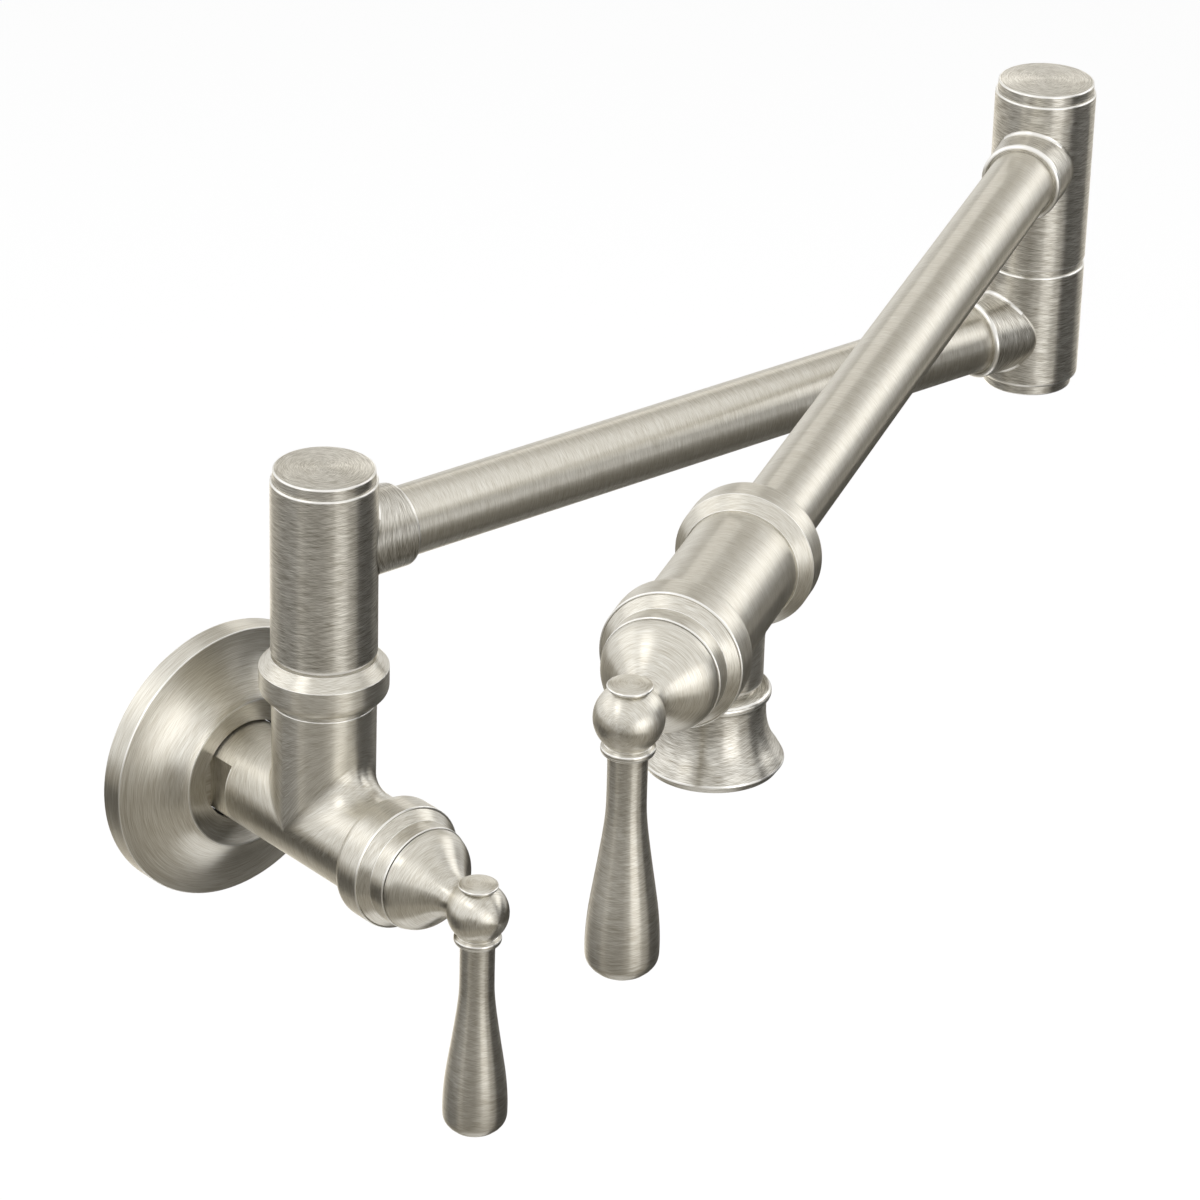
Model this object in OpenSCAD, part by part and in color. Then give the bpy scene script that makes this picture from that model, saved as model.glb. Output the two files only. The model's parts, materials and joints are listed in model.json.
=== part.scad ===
// Wall mounted pot filler: a wall valve, two swivelling arms and an outlet valve.
// Millimetres. +X runs along the wall, +Y into the wall, +Z up.
// The origin is the centre of the wall inlet, in the plane of the wall.

/* [Wall flange] */
// Outer radius of the wall flange
flange_r = 44.2; // [40:0.1:50]
// Width of the flange's outer rim, measured off the wall
flange_rim_h = 7.6; // [5:0.1:9]
// Distance of the flange's front crest from the wall
flange_h = 16.3; // [14:0.1:20]
// Radius of the front crest
flange_neck_r = 24.3; // [23:0.1:28]
// Wall of the pressed flange
flange_wall = 2.2; // [1.6:0.1:2.6]
// Depth of the hollow inside the crest, at the hole
flange_floor_drop = 1.9; // [0.6:0.1:2.4]
// Gap between the valve body and the flange's hole
flange_hole_gap = 0.8; // [0.5:0.1:1.2]
// Radius of the wire of the ring that grips the valve body
grip_wire_r = 1.3; // [1:0.1:1.8]
// Wall of the collar that holds that ring
grip_collar_wall = 2; // [1.5:0.1:2.4]
// Thickness of the wall gasket
gasket_t = 1.5; // [1:0.1:2.5]
// Width of the gasket's ring
gasket_w = 11; // [6:0.5:14]

/* [Valve bodies] */
// Radius of the wall valve's barrel
body_r = 15.65; // [15.4:0.05:16.2]
// Radius of the outlet valve's barrel
outlet_r = 15.9; // [15.4:0.05:16.3]
// Distance of the swivel post's axis from the wall
post_off = 51.5; // [50:0.5:70]
// Distance from a valve's port to the centre of its handle ball
port_back = 72.8; // [72:0.1:90]
// Top of the boss that carries the swivel post
boss_top = 40.4; // [38:0.1:60]
// Radius of that boss
boss_r = 15.8; // [15.4:0.05:16.3]
// Inside radius of the blend between barrel and boss, on the handle's side
tee_fillet_r = 8.5; // [4:0.1:10]
// Inside radius of that blend on the wall's side
tee_rear_fillet_r = 3; // [1:0.1:6]
// Half the distance across the wrench flats
flat_half = 12.8; // [12:0.1:14]
// Distance from the wall to the front end of the wrench flats
flat_front = 22.8; // [19:0.1:25]
// Radius of the threaded inlet, at its tap drill size
inlet_r = 9.15; // [8.8:0.05:9.5]
// Depth of the threaded inlet
inlet_l = 14; // [12:0.5:18]
// Radius of the waterway behind each cartridge
way_r = 4.6; // [4:0.1:4.8]
// Radius of the port to the swivel post and to the spout
port_r = 6; // [5:0.1:6.4]
// Radius of the channel that brings water back from the cartridge
channel_r = 2.1; // [1.6:0.1:2.2]
// Metal left outside that channel
channel_wall = 1.75; // [1.5:0.05:1.9]

/* [Valve fronts] */
// Radius of the raised ring on each valve
ring_r = 19.6; // [18.8:0.1:21]
// Width of that ring
ring_w = 7.6; // [5:0.1:9]
// Small bevel on ring, collar and nut edges
edge = 0.35; // [0.2:0.05:0.5]
// Radius of the bonnet nut's collar
bonnet_r = 16.35; // [15:0.05:17]
// Length of the bonnet nut's sloping face
bonnet_cone_l = 3; // [2:0.1:4]
// Length of the bonnet nut's collar
bonnet_collar_l = 5.5; // [4:0.1:7]
// Radius of the bonnet nut's thread
bonnet_thread_r = 12.95; // [12.4:0.05:13.2]
// Length of the bonnet nut's thread
bonnet_thread_l = 12; // [9:0.5:14]
// Gap between a bonnet nut and the handle that turns in front of it
seam_gap = 0.3; // [0.2:0.05:0.6]

/* [Cartridges] */
// Outer radius of a cartridge
cart_r = 10.9; // [10.5:0.05:11.2]
// Wall of the cartridge
cart_wall = 2.3; // [1.8:0.1:2.4]
// Radius of the cartridge's neck
cart_neck_r = 7.1; // [6.4:0.1:8]
// Thickness of the front plate that holds the stem's foot
cart_plate_t = 3; // [2:0.1:4]
// Radius of the stem
stem_r = 4; // [3.4:0.1:4.2]
// Radius of the stem's foot
foot_r = 7; // [5.5:0.1:7.6]
// Thickness of the stem's foot
foot_t = 2.6; // [2:0.1:3.2]
// Thickness of the disc that turns
moving_disc_t = 3.2; // [2.4:0.1:3.6]
// Thickness of the disc that stays
fixed_disc_t = 3.5; // [2.4:0.1:3.8]
// Thickness of the seal behind the discs
seal_t = 3; // [2:0.1:3.4]
// Radius of the holes through each disc
disc_hole_r = 2.2; // [1.6:0.1:2.3]
// Distance of those holes from the axis
disc_hole_off = 4; // [3.8:0.1:4.4]

/* [Handles] */
// Radius of a handle hub at its wide end
hub_r = 15.95; // [15:0.05:17]
// Length from a hub's wide end to the centre of its ball
hub_l = 24.3; // [22:0.1:30]
// Radius of the ball
ball_r = 9.27; // [8.6:0.05:9.8]
// Widest radius of the lever
lever_r = 9.75; // [8:0.05:11]
// Length of the lever below the centre of the ball
lever_l = 74.7; // [60:0.5:100]
// Radius of the bead at the top of the lever
bead_r = 7.15; // [6.6:0.05:8]
// Height of that bead
bead_h = 3.1; // [2.4:0.1:4]
// Radius of the stud that holds the lever
lever_stud_r = 2.95; // [2:0.05:3.4]
// Length of that stud
lever_stud_l = 5; // [3:0.1:6]
// Radius of the finial button on the ball
finial_r = 6; // [5:0.05:6.8]
// Height of the finial's top above the centre of the ball
finial_top = 9.9; // [9.7:0.05:11]
// Radius of the finial's stud
finial_stud_r = 2.4; // [1.8:0.1:3]
// Length of that stud
finial_stud_l = 4; // [3:0.1:5]
// Radius of the set screw under a hub
screw_r = 2; // [1.5:0.1:2.2]
// Length of the set screw
screw_l = 3; // [2:0.1:3.4]

/* [Swivel joints] */
// Outer radius of the sleeves and of the elbow housing
post_r = 16; // [15.6:0.1:17]
// Height of a swivel sleeve
sleeve_h = 56; // [55:0.5:70]
// Height of the arm's axis above a sleeve's lower end
arm_up = 33.9; // [32:0.1:35]
// Height of the elbow housing above the first arm's axis
housing_up = 21.6; // [21:0.1:28]
// Height of the elbow housing below the first arm's axis
housing_down = 17; // [16:0.1:24]
// Metal above the chamber of the elbow housing, which holds the elbow's stem
housing_roof = 10.4; // [8:0.1:11]
// Radius of the swivel stem
pivot_r = 10; // [9.6:0.1:10.4]
// Radius of the waterway in the swivel stem
pivot_bore_r = 6; // [5:0.1:6.4]
// Radius of the four ports that leave the swivel stem
pivot_port_r = 4; // [3:0.1:4.6]
// Radius of the stem's lower thread
pivot_thread_r = 8.95; // [8.6:0.05:9.2]
// Length of the post's lower thread
pivot_thread_l = 18; // [14:0.5:20]
// Radial running gap of the swivels and of the cartridge stems
run_gap = 0.05; // [0.02:0.01:0.09]
// Radial gap of pieces that are screwed or pushed together
seat_gap = 0.05; // [0.03:0.01:0.1]
// Radius of the caps
cap_r = 15.2; // [14.6:0.1:15.5]
// Thickness of the caps
cap_t = 4; // [3:0.05:5]
// Rounding of the caps' edges
cap_round = 0.6; // [0.3:0.05:1]
// Radius of the cap under the elbow
bottom_cap_r = 14.2; // [13.4:0.1:14.6]
// Rounding of the elbow housing's lower edge
housing_round = 1.2; // [0.6:0.1:1.4]
// Radius of the widest part of the collar under the first sleeve
collar_r = 19.5; // [18.4:0.1:21]
// Radius of the collar's top
collar_top_r = 16; // [15:0.1:17]
// Height of the collar's sloping top
collar_cone_h = 3.8; // [2.5:0.1:5]
// Height of the collar's straight band
collar_band_h = 5.9; // [4:0.1:8]
// Height of the neck under the collar
collar_neck_h = 1.6; // [1:0.1:3]
// Radius of the neck
collar_neck_r = 15.9; // [15:0.05:16.4]
// Thickness of the washer between the collar and the first sleeve
post_washer_t = 1.3; // [0.8:0.1:2]
// Thickness of the washer in the elbow
elbow_washer_t = 2.1; // [1:0.1:3]
// Radius of the washer between the collar and the first sleeve
post_washer_r = 14.6; // [13:0.1:15.4]
// Radius of the washer in the elbow
elbow_washer_r = 15.3; // [13:0.1:15.8]
// Radius of the wire of the O rings
o_ring_wire_r = 1; // [0.8:0.05:1.1]
// Thickness of the lock washers
lock_washer_t = 0.8; // [0.6:0.1:1.2]
// Height of the lock nuts
lock_nut_h = 5; // [4:0.1:5.2]

/* [Arms] */
// Distance between the axes of the two swivel joints
arm_1_l = 282.4; // [200:1:360]
// Outer radius of the arm tubes
tube_r = 10.7; // [10.2:0.05:11]
// Wall of the arm tubes
tube_wall = 1.5; // [1:0.1:2]
// Radius of the bosses that take the tubes
arm_boss_r = 12.8; // [12.6:0.1:13.6]
// Distance from a swivel axis to the face of its boss
arm_boss_l = 26.4; // [25:0.1:34]
// Rounding of that face's edge
arm_boss_round = 1.4; // [0.8:0.1:1.5]
// Direction of the first arm at rest, in degrees off the wall's direction
arm_1_angle = 2.1; // [0:0.1:90]
// Angle that the second arm is folded back at rest, in degrees
arm_2_angle = 147.8; // [60:0.1:180]

/* [Outlet] */
// Distance from the elbow's axis to the spout's axis
spout_reach = 335.6; // [315:1:420]
// Length of the outlet valve behind the spout's axis
outlet_back = 19.4; // [18:0.1:30]
// Length of the coupling ring behind the outlet valve
coupling_l = 14.2; // [13:0.1:18]
// Length of the coupling ring's thread
coupling_thread_l = 8; // [5:0.1:9]
// Radius of the spout's boss
spout_boss_r = 13; // [12.4:0.1:13.6]
// Depth of that boss below the arm's axis
spout_boss_l = 24.6; // [23:0.1:34]
// Rounding of the boss's lower edge
spout_boss_round = 1.6; // [0.8:0.1:2.4]
// Radius of the bell's thread
bell_thread_r = 8.95; // [8.6:0.05:9.2]
// Length of the bell's thread
bell_thread_l = 12; // [8:0.1:13]
// Widest radius of the bell
bell_r = 19.55; // [17:0.05:24]
// Radius of the bell's neck
bell_neck_r = 14.1; // [13.8:0.1:15]
// Height of the groove between the boss and the bell's bead
bell_cove_h = 1; // [0.6:0.1:1.6]
// Radius of that groove
bell_cove_r = 11.6; // [10.6:0.1:12.4]
// Radius of the bead round the top of the bell
bell_bead_r = 15.4; // [15:0.1:17]
// Height of that bead
bell_bead_h = 3.5; // [3:0.1:5]
// Height of the bell's flare, from its bead to its widest place
bell_flare_h = 18.2; // [16:0.1:26]
// Height of the undercut below the bell's widest place
bell_rim_h = 2.25; // [1:0.05:3]
// Width of that undercut
bell_rim_w = 1.45; // [0.8:0.05:2]
// Radius of the cavity that holds the aerator
bell_cavity_r = 13; // [12.4:0.05:13.3]
// Height of the aerator
aerator_h = 6.2; // [5:0.1:7]
// Wall of the aerator's ring
aerator_wall = 1.6; // [1:0.1:2]
// Thickness of the aerator's screen
screen_t = 1.4; // [1:0.1:2]
// Distance that the aerator is set back from the bell's lower face
aerator_inset = 1.5; // [1:0.1:2.4]
// Thickness of the aerator's washer
aerator_washer_t = 2; // [1.5:0.1:2.4]
// Radius of the holes in the aerator's screen
screen_hole_r = 1; // [0.6:0.05:1.1]

/* [Hidden] */

$fn = 96;
nickel = "#bdb6aa";
brass = "#b08d45";
steel = "#a9abad";
rubber = "#2b2b2b";
nylon = "#e9e6df";
ceramic = "#f2f2ee";
// Overrun of every cut
over = 1;
// Play of pieces that turn past each other inside a cartridge or in a sleeve
play = 0.1;
// Gap between round faces of the handle and of the nut that it turns in
hub_play = 0.3;

// Places along a valve's axis, as distances behind the centre of its ball
u_collar_end = hub_l + seam_gap;
u_cone_end = u_collar_end + bonnet_collar_l;
u_ring_front = u_cone_end + bonnet_cone_l;
u_ring_back = u_ring_front + ring_w;
u_thread_end = u_ring_front + bonnet_thread_l;
u_foot = u_thread_end + cart_plate_t + play;
u_moving_disc = u_foot + foot_t;
u_fixed_disc = u_moving_disc + moving_disc_t;
u_seal = u_fixed_disc + fixed_disc_t;
u_seat = u_seal + seal_t;
u_wall = port_back + post_off;
u_outlet_end = port_back + outlet_back;
u_tube_end = u_outlet_end - coupling_thread_l;
u_stem_tip = hub_l / 2;
u_screw = hub_l * 2 / 3;
channel_off = min(body_r, outlet_r) - channel_wall - channel_r;
bonnet_bore_r = cart_neck_r + seat_gap;
hub_boss_r = bonnet_bore_r - hub_play;
stem_bore_r = stem_r + run_gap;
disc_r = cart_r - cart_wall - play;
slot_half = disc_hole_off - disc_hole_r - 2 * play;
tongue_half = slot_half - play;
slot_depth = moving_disc_t / 3;
seal_lip = 0.3;

// Heights of the swivel joints
collar_round = collar_r - collar_neck_r;
collar_top = boss_top + collar_neck_h + collar_round + collar_band_h + collar_cone_h;
post_sleeve_z = collar_top + post_washer_t;
arm_1_z = post_sleeve_z + arm_up;
housing_top = arm_1_z + housing_up;
housing_bottom = arm_1_z - housing_down;
chamber_top = housing_top - housing_roof;
elbow_sleeve_z = housing_top + elbow_washer_t;
arm_2_z = elbow_sleeve_z + arm_up;

// Inside of a sleeve, as heights above its lower end
land_h = 12;
land_bore_r = pivot_r + run_gap;
chamber_r = pivot_r + pivot_port_r / 2 + seat_gap;
upper_land_h = 4.2;
well_depth = 9.8;
cap_ledge = 1.6;
well_r = cap_r - cap_ledge;
well_z = sleeve_h - well_depth;
upper_land_z = well_z - upper_land_h;
lower_ring_z = land_h / 2;
upper_ring_z = well_z - upper_land_h / 2;
groove_r = land_bore_r - play - 2 * o_ring_wire_r - seat_gap;
groove_half = o_ring_wire_r + 2 * play;
lock_step = 2;
lock_thread_r = pivot_r - lock_step;
lock_margin = 1.2;
lock_r = well_r - lock_margin;
spigot_h = 3.2;
spigot_wall = 2;

// Ends of the tubes, and the steps that they seat against
socket_step = 1;
tube_seat = post_r - socket_step;
tube_bore_r = tube_r - tube_wall;

// Shapes of curved outlines, as shares of their own length and radius
flange_ogee_shares = [[0, 0], [0.14, 0.05], [0.28, 0.12], [0.42, 0.21], [0.54, 0.32], [0.65, 0.45],
    [0.75, 0.6], [0.84, 0.76], [0.91, 0.89], [0.96, 0.96], [1, 1]];
hub_dome_shares = [[0.015, 1], [0.193, 0.965], [0.3, 0.627], [0.481, 0.433]];
hub_neck_shares = [[0.481, 0.433], [0.565, 0.345], [0.63, 0.325], [0.72, 0.325]];
finial_shares = [[0, 0.8], [0.13, 0.82], [0.23, 0.95], [0.47, 1], [0.7, 0.97], [0.92, 0.7], [1, 0.4]];
bead_shares = [[0, 0.82], [0.14, 0.92], [0.3, 1], [0.65, 1], [0.87, 0.92], [1, 0.783]];
lever_shares = [[0.2, 0.54], [0.27, 0.533], [0.34, 0.54], [0.4, 0.567], [0.46, 0.613], [0.52, 0.675],
    [0.58, 0.743], [0.65, 0.832], [0.72, 0.912], [0.79, 0.97], [0.85, 0.995], [0.9, 1],
    [0.928, 0.989], [0.948, 0.944], [0.968, 0.841], [0.983, 0.708], [0.993, 0.574], [1, 0.47]];
bell_bead_shares = [[0, 0.87], [0.14, 0.955], [0.37, 1], [0.71, 1]];
bell_flare_shares = [[0, 0], [0.23, 0.007], [0.35, 0.048], [0.434, 0.097], [0.516, 0.165],
    [0.6, 0.257], [0.687, 0.385], [0.769, 0.55], [0.852, 0.734], [0.934, 0.89], [1, 1]];
screen_pitch_share = 3.1;

function bezier_point(p, t) = pow(1 - t, 3) * p[0] + 3 * pow(1 - t, 2) * t * p[1]
    + 3 * (1 - t) * t * t * p[2] + pow(t, 3) * p[3];

function bezier_points(p, n) = [for (i = [0 : n]) bezier_point(p, i / n)];

// A quarter round from radius r to radius big, ending at x
function quarter_points(r, big, x) =
    [for (a = [0 : 10 : 90]) [r + (big - r) * sin(a), x - (big - r) * cos(a)]];

module turned_z(points) {
    rotate_extrude() polygon(points);
}

// Points are [radius, x]
module turned_x(points) {
    rotate([0, 90, 0]) rotate_extrude() polygon(points);
}

// Points are [radius, distance from the wall]
module turned_wall(points) {
    rotate([90, 0, 0]) rotate_extrude() polygon(points);
}

module rod_x(x0, x1, r) {
    translate([x0, 0, 0]) rotate([0, 90, 0]) cylinder(r = r, h = x1 - x0);
}

module rod_z(z0, z1, r) {
    translate([0, 0, z0]) cylinder(r = r, h = z1 - z0);
}

module ring_z(z0, z1, r_out, r_in) {
    difference() {
        rod_z(z0, z1, r_out);
        rod_z(z0 - over, z1 + over, r_in);
    }
}

module at_post() {
    translate([0, -post_off, 0]) children();
}

module along_arm_1() {
    at_post() rotate([0, 0, -arm_1_angle]) children();
}

module at_elbow() {
    along_arm_1() translate([arm_1_l, 0, 0]) children();
}

module along_arm_2() {
    at_elbow() rotate([0, 0, -arm_2_angle]) children();
}

// In a valve's frame the origin is the handle ball and +X points out of the valve
module at_wall_valve() {
    translate([0, -u_wall, 0]) rotate([0, 0, -90]) children();
}

module at_outlet_valve() {
    along_arm_2() translate([spout_reach + port_back, 0, arm_2_z]) children();
}

// The wall flange, and what seals and holds it

hole_r = body_r + flange_hole_gap;
floor_front = flange_h - flange_floor_drop;
floor_back = floor_front - flange_wall;
grip_collar_r = body_r + 2 * grip_wire_r + 2 * seat_gap;
grip_collar_l = 3 * grip_wire_r;

function flange_outline(drop, inset) = [for (s = flange_ogee_shares)
    [flange_r - inset - edge - s[0] * (flange_r - inset - edge - flange_neck_r),
        flange_rim_h - drop + s[1] * (flange_h - flange_rim_h)]];

module wall_flange() {
    inner = flange_outline(flange_wall, flange_wall);
    last = len(flange_ogee_shares) - 1;
    color(nickel) turned_wall(concat(
        [[flange_r - flange_wall, 0], [flange_r, 0], [flange_r, flange_rim_h - edge]],
        flange_outline(0, 0),
        [for (a = [0 : 15 : 90]) [hole_r + (flange_neck_r - edge - hole_r) * (1 - a / 90),
            flange_h - flange_floor_drop * sin(a)]],
        [[hole_r, floor_back], [grip_collar_r, floor_back],
            [grip_collar_r, floor_back - grip_collar_l],
            [grip_collar_r + grip_collar_wall, floor_back - grip_collar_l],
            [grip_collar_r + grip_collar_wall, floor_back],
            [flange_neck_r - 2 * edge, floor_back]],
        [for (i = [last : -1 : 0]) inner[i]],
        [[flange_r - flange_wall, flange_rim_h - flange_wall - edge]]));
}

module wall_gasket() {
    gasket_r = flange_r - flange_wall - seat_gap;
    color(rubber) turned_wall([[gasket_r - gasket_w, 0], [gasket_r, 0], [gasket_r, gasket_t],
        [gasket_r - gasket_w, gasket_t]]);
}

module flange_grip_ring() {
    color(rubber) translate([0, -(floor_back - grip_collar_l / 2), 0]) rotate([90, 0, 0])
        rotate_extrude() translate([body_r + grip_wire_r + seat_gap, 0]) circle(r = grip_wire_r);
}

// What both valves share, in a valve's frame

// The barrel with its raised ring; the cuts below open it
module barrel(r, u_back) {
    turned_x(concat(
        [[0, -u_back], [r - edge, -u_back], [r, -u_back + edge]],
        quarter_points(r, ring_r, -u_ring_back),
        [[ring_r, -u_ring_front - edge], [ring_r - edge, -u_ring_front], [0, -u_ring_front]]));
}

// A bend from the barrel up into the boss, with the fillet as its inside radius
module quarter_bend(side, fillet_r) {
    bend_r = body_r + fillet_r;
    translate([-port_back + side * bend_r, 0, bend_r]) rotate([90, 0, 0])
        rotate([0, 0, side > 0 ? 180 : 270]) rotate_extrude(angle = 90)
            translate([bend_r, 0]) circle(r = body_r - seat_gap);
}

// The waterways: the cartridge's bores, and a port on the +Z side
module valve_ways(u_back, port_end) {
    rod_x(-u_thread_end, -u_ring_front + over, bonnet_thread_r + seat_gap);
    rod_x(-u_seat, -u_thread_end + over, cart_r + seat_gap);
    rod_x(-u_back, -u_seat + over, way_r);
    translate([-port_back, 0, 0]) rod_z(channel_off - channel_r, port_end, port_r);
    translate([0, 0, channel_off]) rod_x(-port_back, -u_thread_end - cart_plate_t, channel_r);
}

module bonnet_nut() {
    color(nickel) turned_x([[bonnet_bore_r, -u_thread_end], [bonnet_thread_r, -u_thread_end],
        [bonnet_thread_r, -u_ring_front], [ring_r - edge, -u_ring_front],
        [bonnet_r, -u_cone_end], [bonnet_r, -u_collar_end - edge],
        [bonnet_r - edge, -u_collar_end], [bonnet_bore_r, -u_collar_end]]);
}

module cartridge() {
    color(brass) difference() {
        turned_x([[stem_bore_r, -u_ring_front], [cart_neck_r, -u_ring_front],
            [cart_neck_r, -u_thread_end], [cart_r, -u_thread_end], [cart_r, -u_seat],
            [cart_r - cart_wall, -u_seat], [cart_r - cart_wall, -u_foot + play],
            [stem_bore_r, -u_foot + play]]);
        for (side = [-1, 1])
            translate([-u_moving_disc, -channel_r, side * cart_r - cart_wall - over])
                cube([foot_t, 2 * channel_r, 2 * (cart_wall + over)]);
    }
}

module disc_holes(turn) {
    for (side = [0, 180])
        rotate([turn + side, 0, 0]) translate([0, 0, disc_hole_off])
            rod_x(-u_seal - over, -u_moving_disc + over, disc_hole_r);
}

module fixed_disc() {
    color(ceramic) difference() {
        rod_x(-u_seal, -u_fixed_disc, cart_r - cart_wall - seat_gap);
        disc_holes(0);
    }
}

module seat_seal() {
    color(rubber) difference() {
        rod_x(-u_seat, -u_seal, cart_r - cart_wall - seat_gap);
        rod_x(-u_seat - over, -u_seal + over, disc_hole_off + disc_hole_r + seal_lip);
    }
}

module drive_bar(x0, x1, r, half) {
    intersection() {
        rod_x(x0, x1, r);
        translate([x0, -half, -r]) cube([x1 - x0, 2 * half, 2 * r]);
    }
}

module stem() {
    color(brass) {
        rod_x(-u_foot, -u_stem_tip, stem_r);
        drive_bar(-u_moving_disc - slot_depth + play, -u_foot, foot_r, tongue_half);
        drive_bar(-u_moving_disc, -u_foot + over, stem_r - play, tongue_half);
    }
}

module moving_disc() {
    color(ceramic) difference() {
        rod_x(-u_fixed_disc, -u_moving_disc, disc_r);
        disc_holes(90);
        drive_bar(-u_moving_disc - slot_depth, -u_moving_disc + over, foot_r + play, slot_half);
    }
}

// Heights of the flats on the ball that the finial and the lever sit on
finial_seat_z = sqrt(pow(ball_r, 2) - pow(finial_shares[0][1] * finial_r, 2));
lever_seat_z = sqrt(pow(ball_r, 2) - pow(bead_shares[0][1] * bead_r, 2));

function hub_points(shares) = [for (s = shares) [s[1] * hub_r, -hub_l * (1 - s[0])]];

module handle_hub() {
    dome = bezier_points(hub_points(hub_dome_shares), 10);
    neck = bezier_points(hub_points(hub_neck_shares), 4);
    color(nickel) difference() {
        union() {
            turned_x(concat([[0, -u_cone_end], [hub_boss_r, -u_cone_end], [hub_boss_r, -hub_l],
                [hub_r - edge, -hub_l]],
                dome, neck, [[0, neck[4][1]]]));
            sphere(r = ball_r);
        }
        rod_x(-u_cone_end - over, -u_stem_tip, stem_r + seat_gap);
        rod_z(finial_seat_z, ball_r + over, ball_r);
        rod_z(-ball_r - over, -lever_seat_z, ball_r);
        rod_z(finial_seat_z - finial_stud_l, ball_r, finial_stud_r + seat_gap);
        rod_z(-ball_r, lever_stud_l - lever_seat_z, lever_stud_r + seat_gap);
        translate([-u_screw, 0, 0]) rod_z(-hub_r, 0, screw_r + seat_gap);
    }
}

module lever() {
    bead = [for (s = bead_shares) [s[1] * bead_r, -lever_seat_z - s[0] * bead_h]];
    blade = [for (s = lever_shares) [s[1] * lever_r, -s[0] * lever_l]];
    color(nickel) {
        turned_z(concat([[0, -lever_seat_z]], bead, blade, [[0, -lever_l]]));
        rod_z(-lever_seat_z, lever_stud_l - lever_seat_z, lever_stud_r);
    }
}

module finial() {
    rise = finial_top - finial_seat_z;
    color(nickel) {
        turned_z(concat([[0, finial_seat_z]],
            [for (s = finial_shares) [s[1] * finial_r, finial_seat_z + s[0] * rise]],
            [[0, finial_top]]));
        rod_z(finial_seat_z - finial_stud_l, finial_seat_z, finial_stud_r);
    }
}

module set_screw() {
    color(steel) translate([-u_screw, 0, 0]) difference() {
        rod_z(-stem_r - screw_l, -stem_r - seat_gap, screw_r);
        translate([0, 0, -stem_r - screw_l - over])
            cylinder(r = screw_r / 2, h = screw_l / 2 + over, $fn = 6);
    }
}

// What both swivel joints share; z is measured from the sleeve's lower end

module swivel_stem(foot, thread_l) {
    bottom = -foot - thread_l;
    top = well_z + lock_washer_t + lock_nut_h;
    color(brass) difference() {
        turned_z([[0, bottom], [pivot_thread_r, bottom], [pivot_thread_r, -foot],
            [pivot_r, -foot], [pivot_r, lower_ring_z - groove_half],
            [groove_r, lower_ring_z - groove_half], [groove_r, lower_ring_z + groove_half],
            [pivot_r, lower_ring_z + groove_half], [pivot_r, upper_ring_z - groove_half],
            [groove_r, upper_ring_z - groove_half], [groove_r, upper_ring_z + groove_half],
            [pivot_r, upper_ring_z + groove_half], [pivot_r, well_z - play],
            [lock_thread_r, well_z - play], [lock_thread_r, top], [0, top]]);
        rod_z(bottom - over, arm_up + pivot_bore_r, pivot_bore_r);
        for (turn = [0, 90])
            translate([0, 0, arm_up]) rotate([0, 0, turn])
                rod_x(-pivot_r - over, pivot_r + over, pivot_port_r);
    }
}

module o_rings() {
    color(rubber)
        for (z = [lower_ring_z, upper_ring_z])
            translate([0, 0, z]) rotate_extrude()
                translate([land_bore_r - play - o_ring_wire_r, 0]) circle(r = o_ring_wire_r);
}

module thrust_washer(t, r) {
    color(nylon) ring_z(-t, 0, r, pivot_r + seat_gap);
}

module lock_washer() {
    color(steel) ring_z(well_z, well_z + lock_washer_t, lock_r, lock_thread_r + seat_gap);
}

module lock_nut() {
    color(brass) translate([0, 0, well_z + lock_washer_t]) difference() {
        cylinder(r = lock_r, h = lock_nut_h, $fn = 6);
        rod_z(-over, lock_nut_h + over, lock_thread_r + seat_gap);
    }
}

// A boss that takes an arm's tube, along +X
module arm_boss() {
    turned_x(concat([[0, 0], [arm_boss_r, 0]],
        [for (a = [0 : 15 : 90]) [arm_boss_r - arm_boss_round * (1 - cos(a)),
            arm_boss_l - arm_boss_round * (1 - sin(a))]],
        [[0, arm_boss_l]]));
}

module arm_boss_ways() {
    rod_x(0, tube_seat + over, tube_bore_r);
    rod_x(tube_seat, arm_boss_l + over, tube_r + seat_gap);
}

module sleeve() {
    color(nickel) difference() {
        union() {
            turned_z([[0, 0], [post_r - edge, 0], [post_r, edge], [post_r, sleeve_h - edge],
                [post_r - edge, sleeve_h], [0, sleeve_h]]);
            translate([0, 0, arm_up]) arm_boss();
        }
        rod_z(-over, sleeve_h, land_bore_r);
        rod_z(land_h, upper_land_z, chamber_r);
        rod_z(well_z, sleeve_h + over, well_r);
        translate([0, 0, arm_up]) arm_boss_ways();
    }
}

// A round cap with a spigot below; z = 0 is the face that it sits on
module cap(r, spigot_r) {
    color(nickel) {
        turned_z(concat([[0, 0], [r, 0]],
            [for (a = [0 : 15 : 90]) [r - cap_round * (1 - cos(a)), cap_t - cap_round * (1 - sin(a))]],
            [[0, cap_t]]));
        ring_z(-spigot_h, 0, spigot_r - seat_gap, spigot_r - spigot_wall);
    }
}

// The wall valve

module wall_valve_body() {
    color(nickel) difference() {
        union() {
            at_wall_valve() {
                barrel(body_r, u_wall);
                quarter_bend(1, tee_fillet_r);
                quarter_bend(-1, tee_rear_fillet_r);
            }
            at_post() turned_z([[0, 0], [boss_r, 0], [boss_r, boss_top - 2 * edge],
                [boss_r - 2 * edge, boss_top], [0, boss_top]]);
        }
        at_wall_valve() valve_ways(u_wall, boss_top);
        at_post() rod_z(boss_top - pivot_thread_l, boss_top + over, pivot_thread_r + seat_gap);
        rotate([90, 0, 0]) rod_z(-over, inlet_l, inlet_r);
        for (side = [-1, 1])
            translate([side * (flat_half + body_r) - body_r, -flat_front, -body_r])
                cube([2 * body_r, flat_front - floor_front, 2 * body_r]);
    }
}

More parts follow.
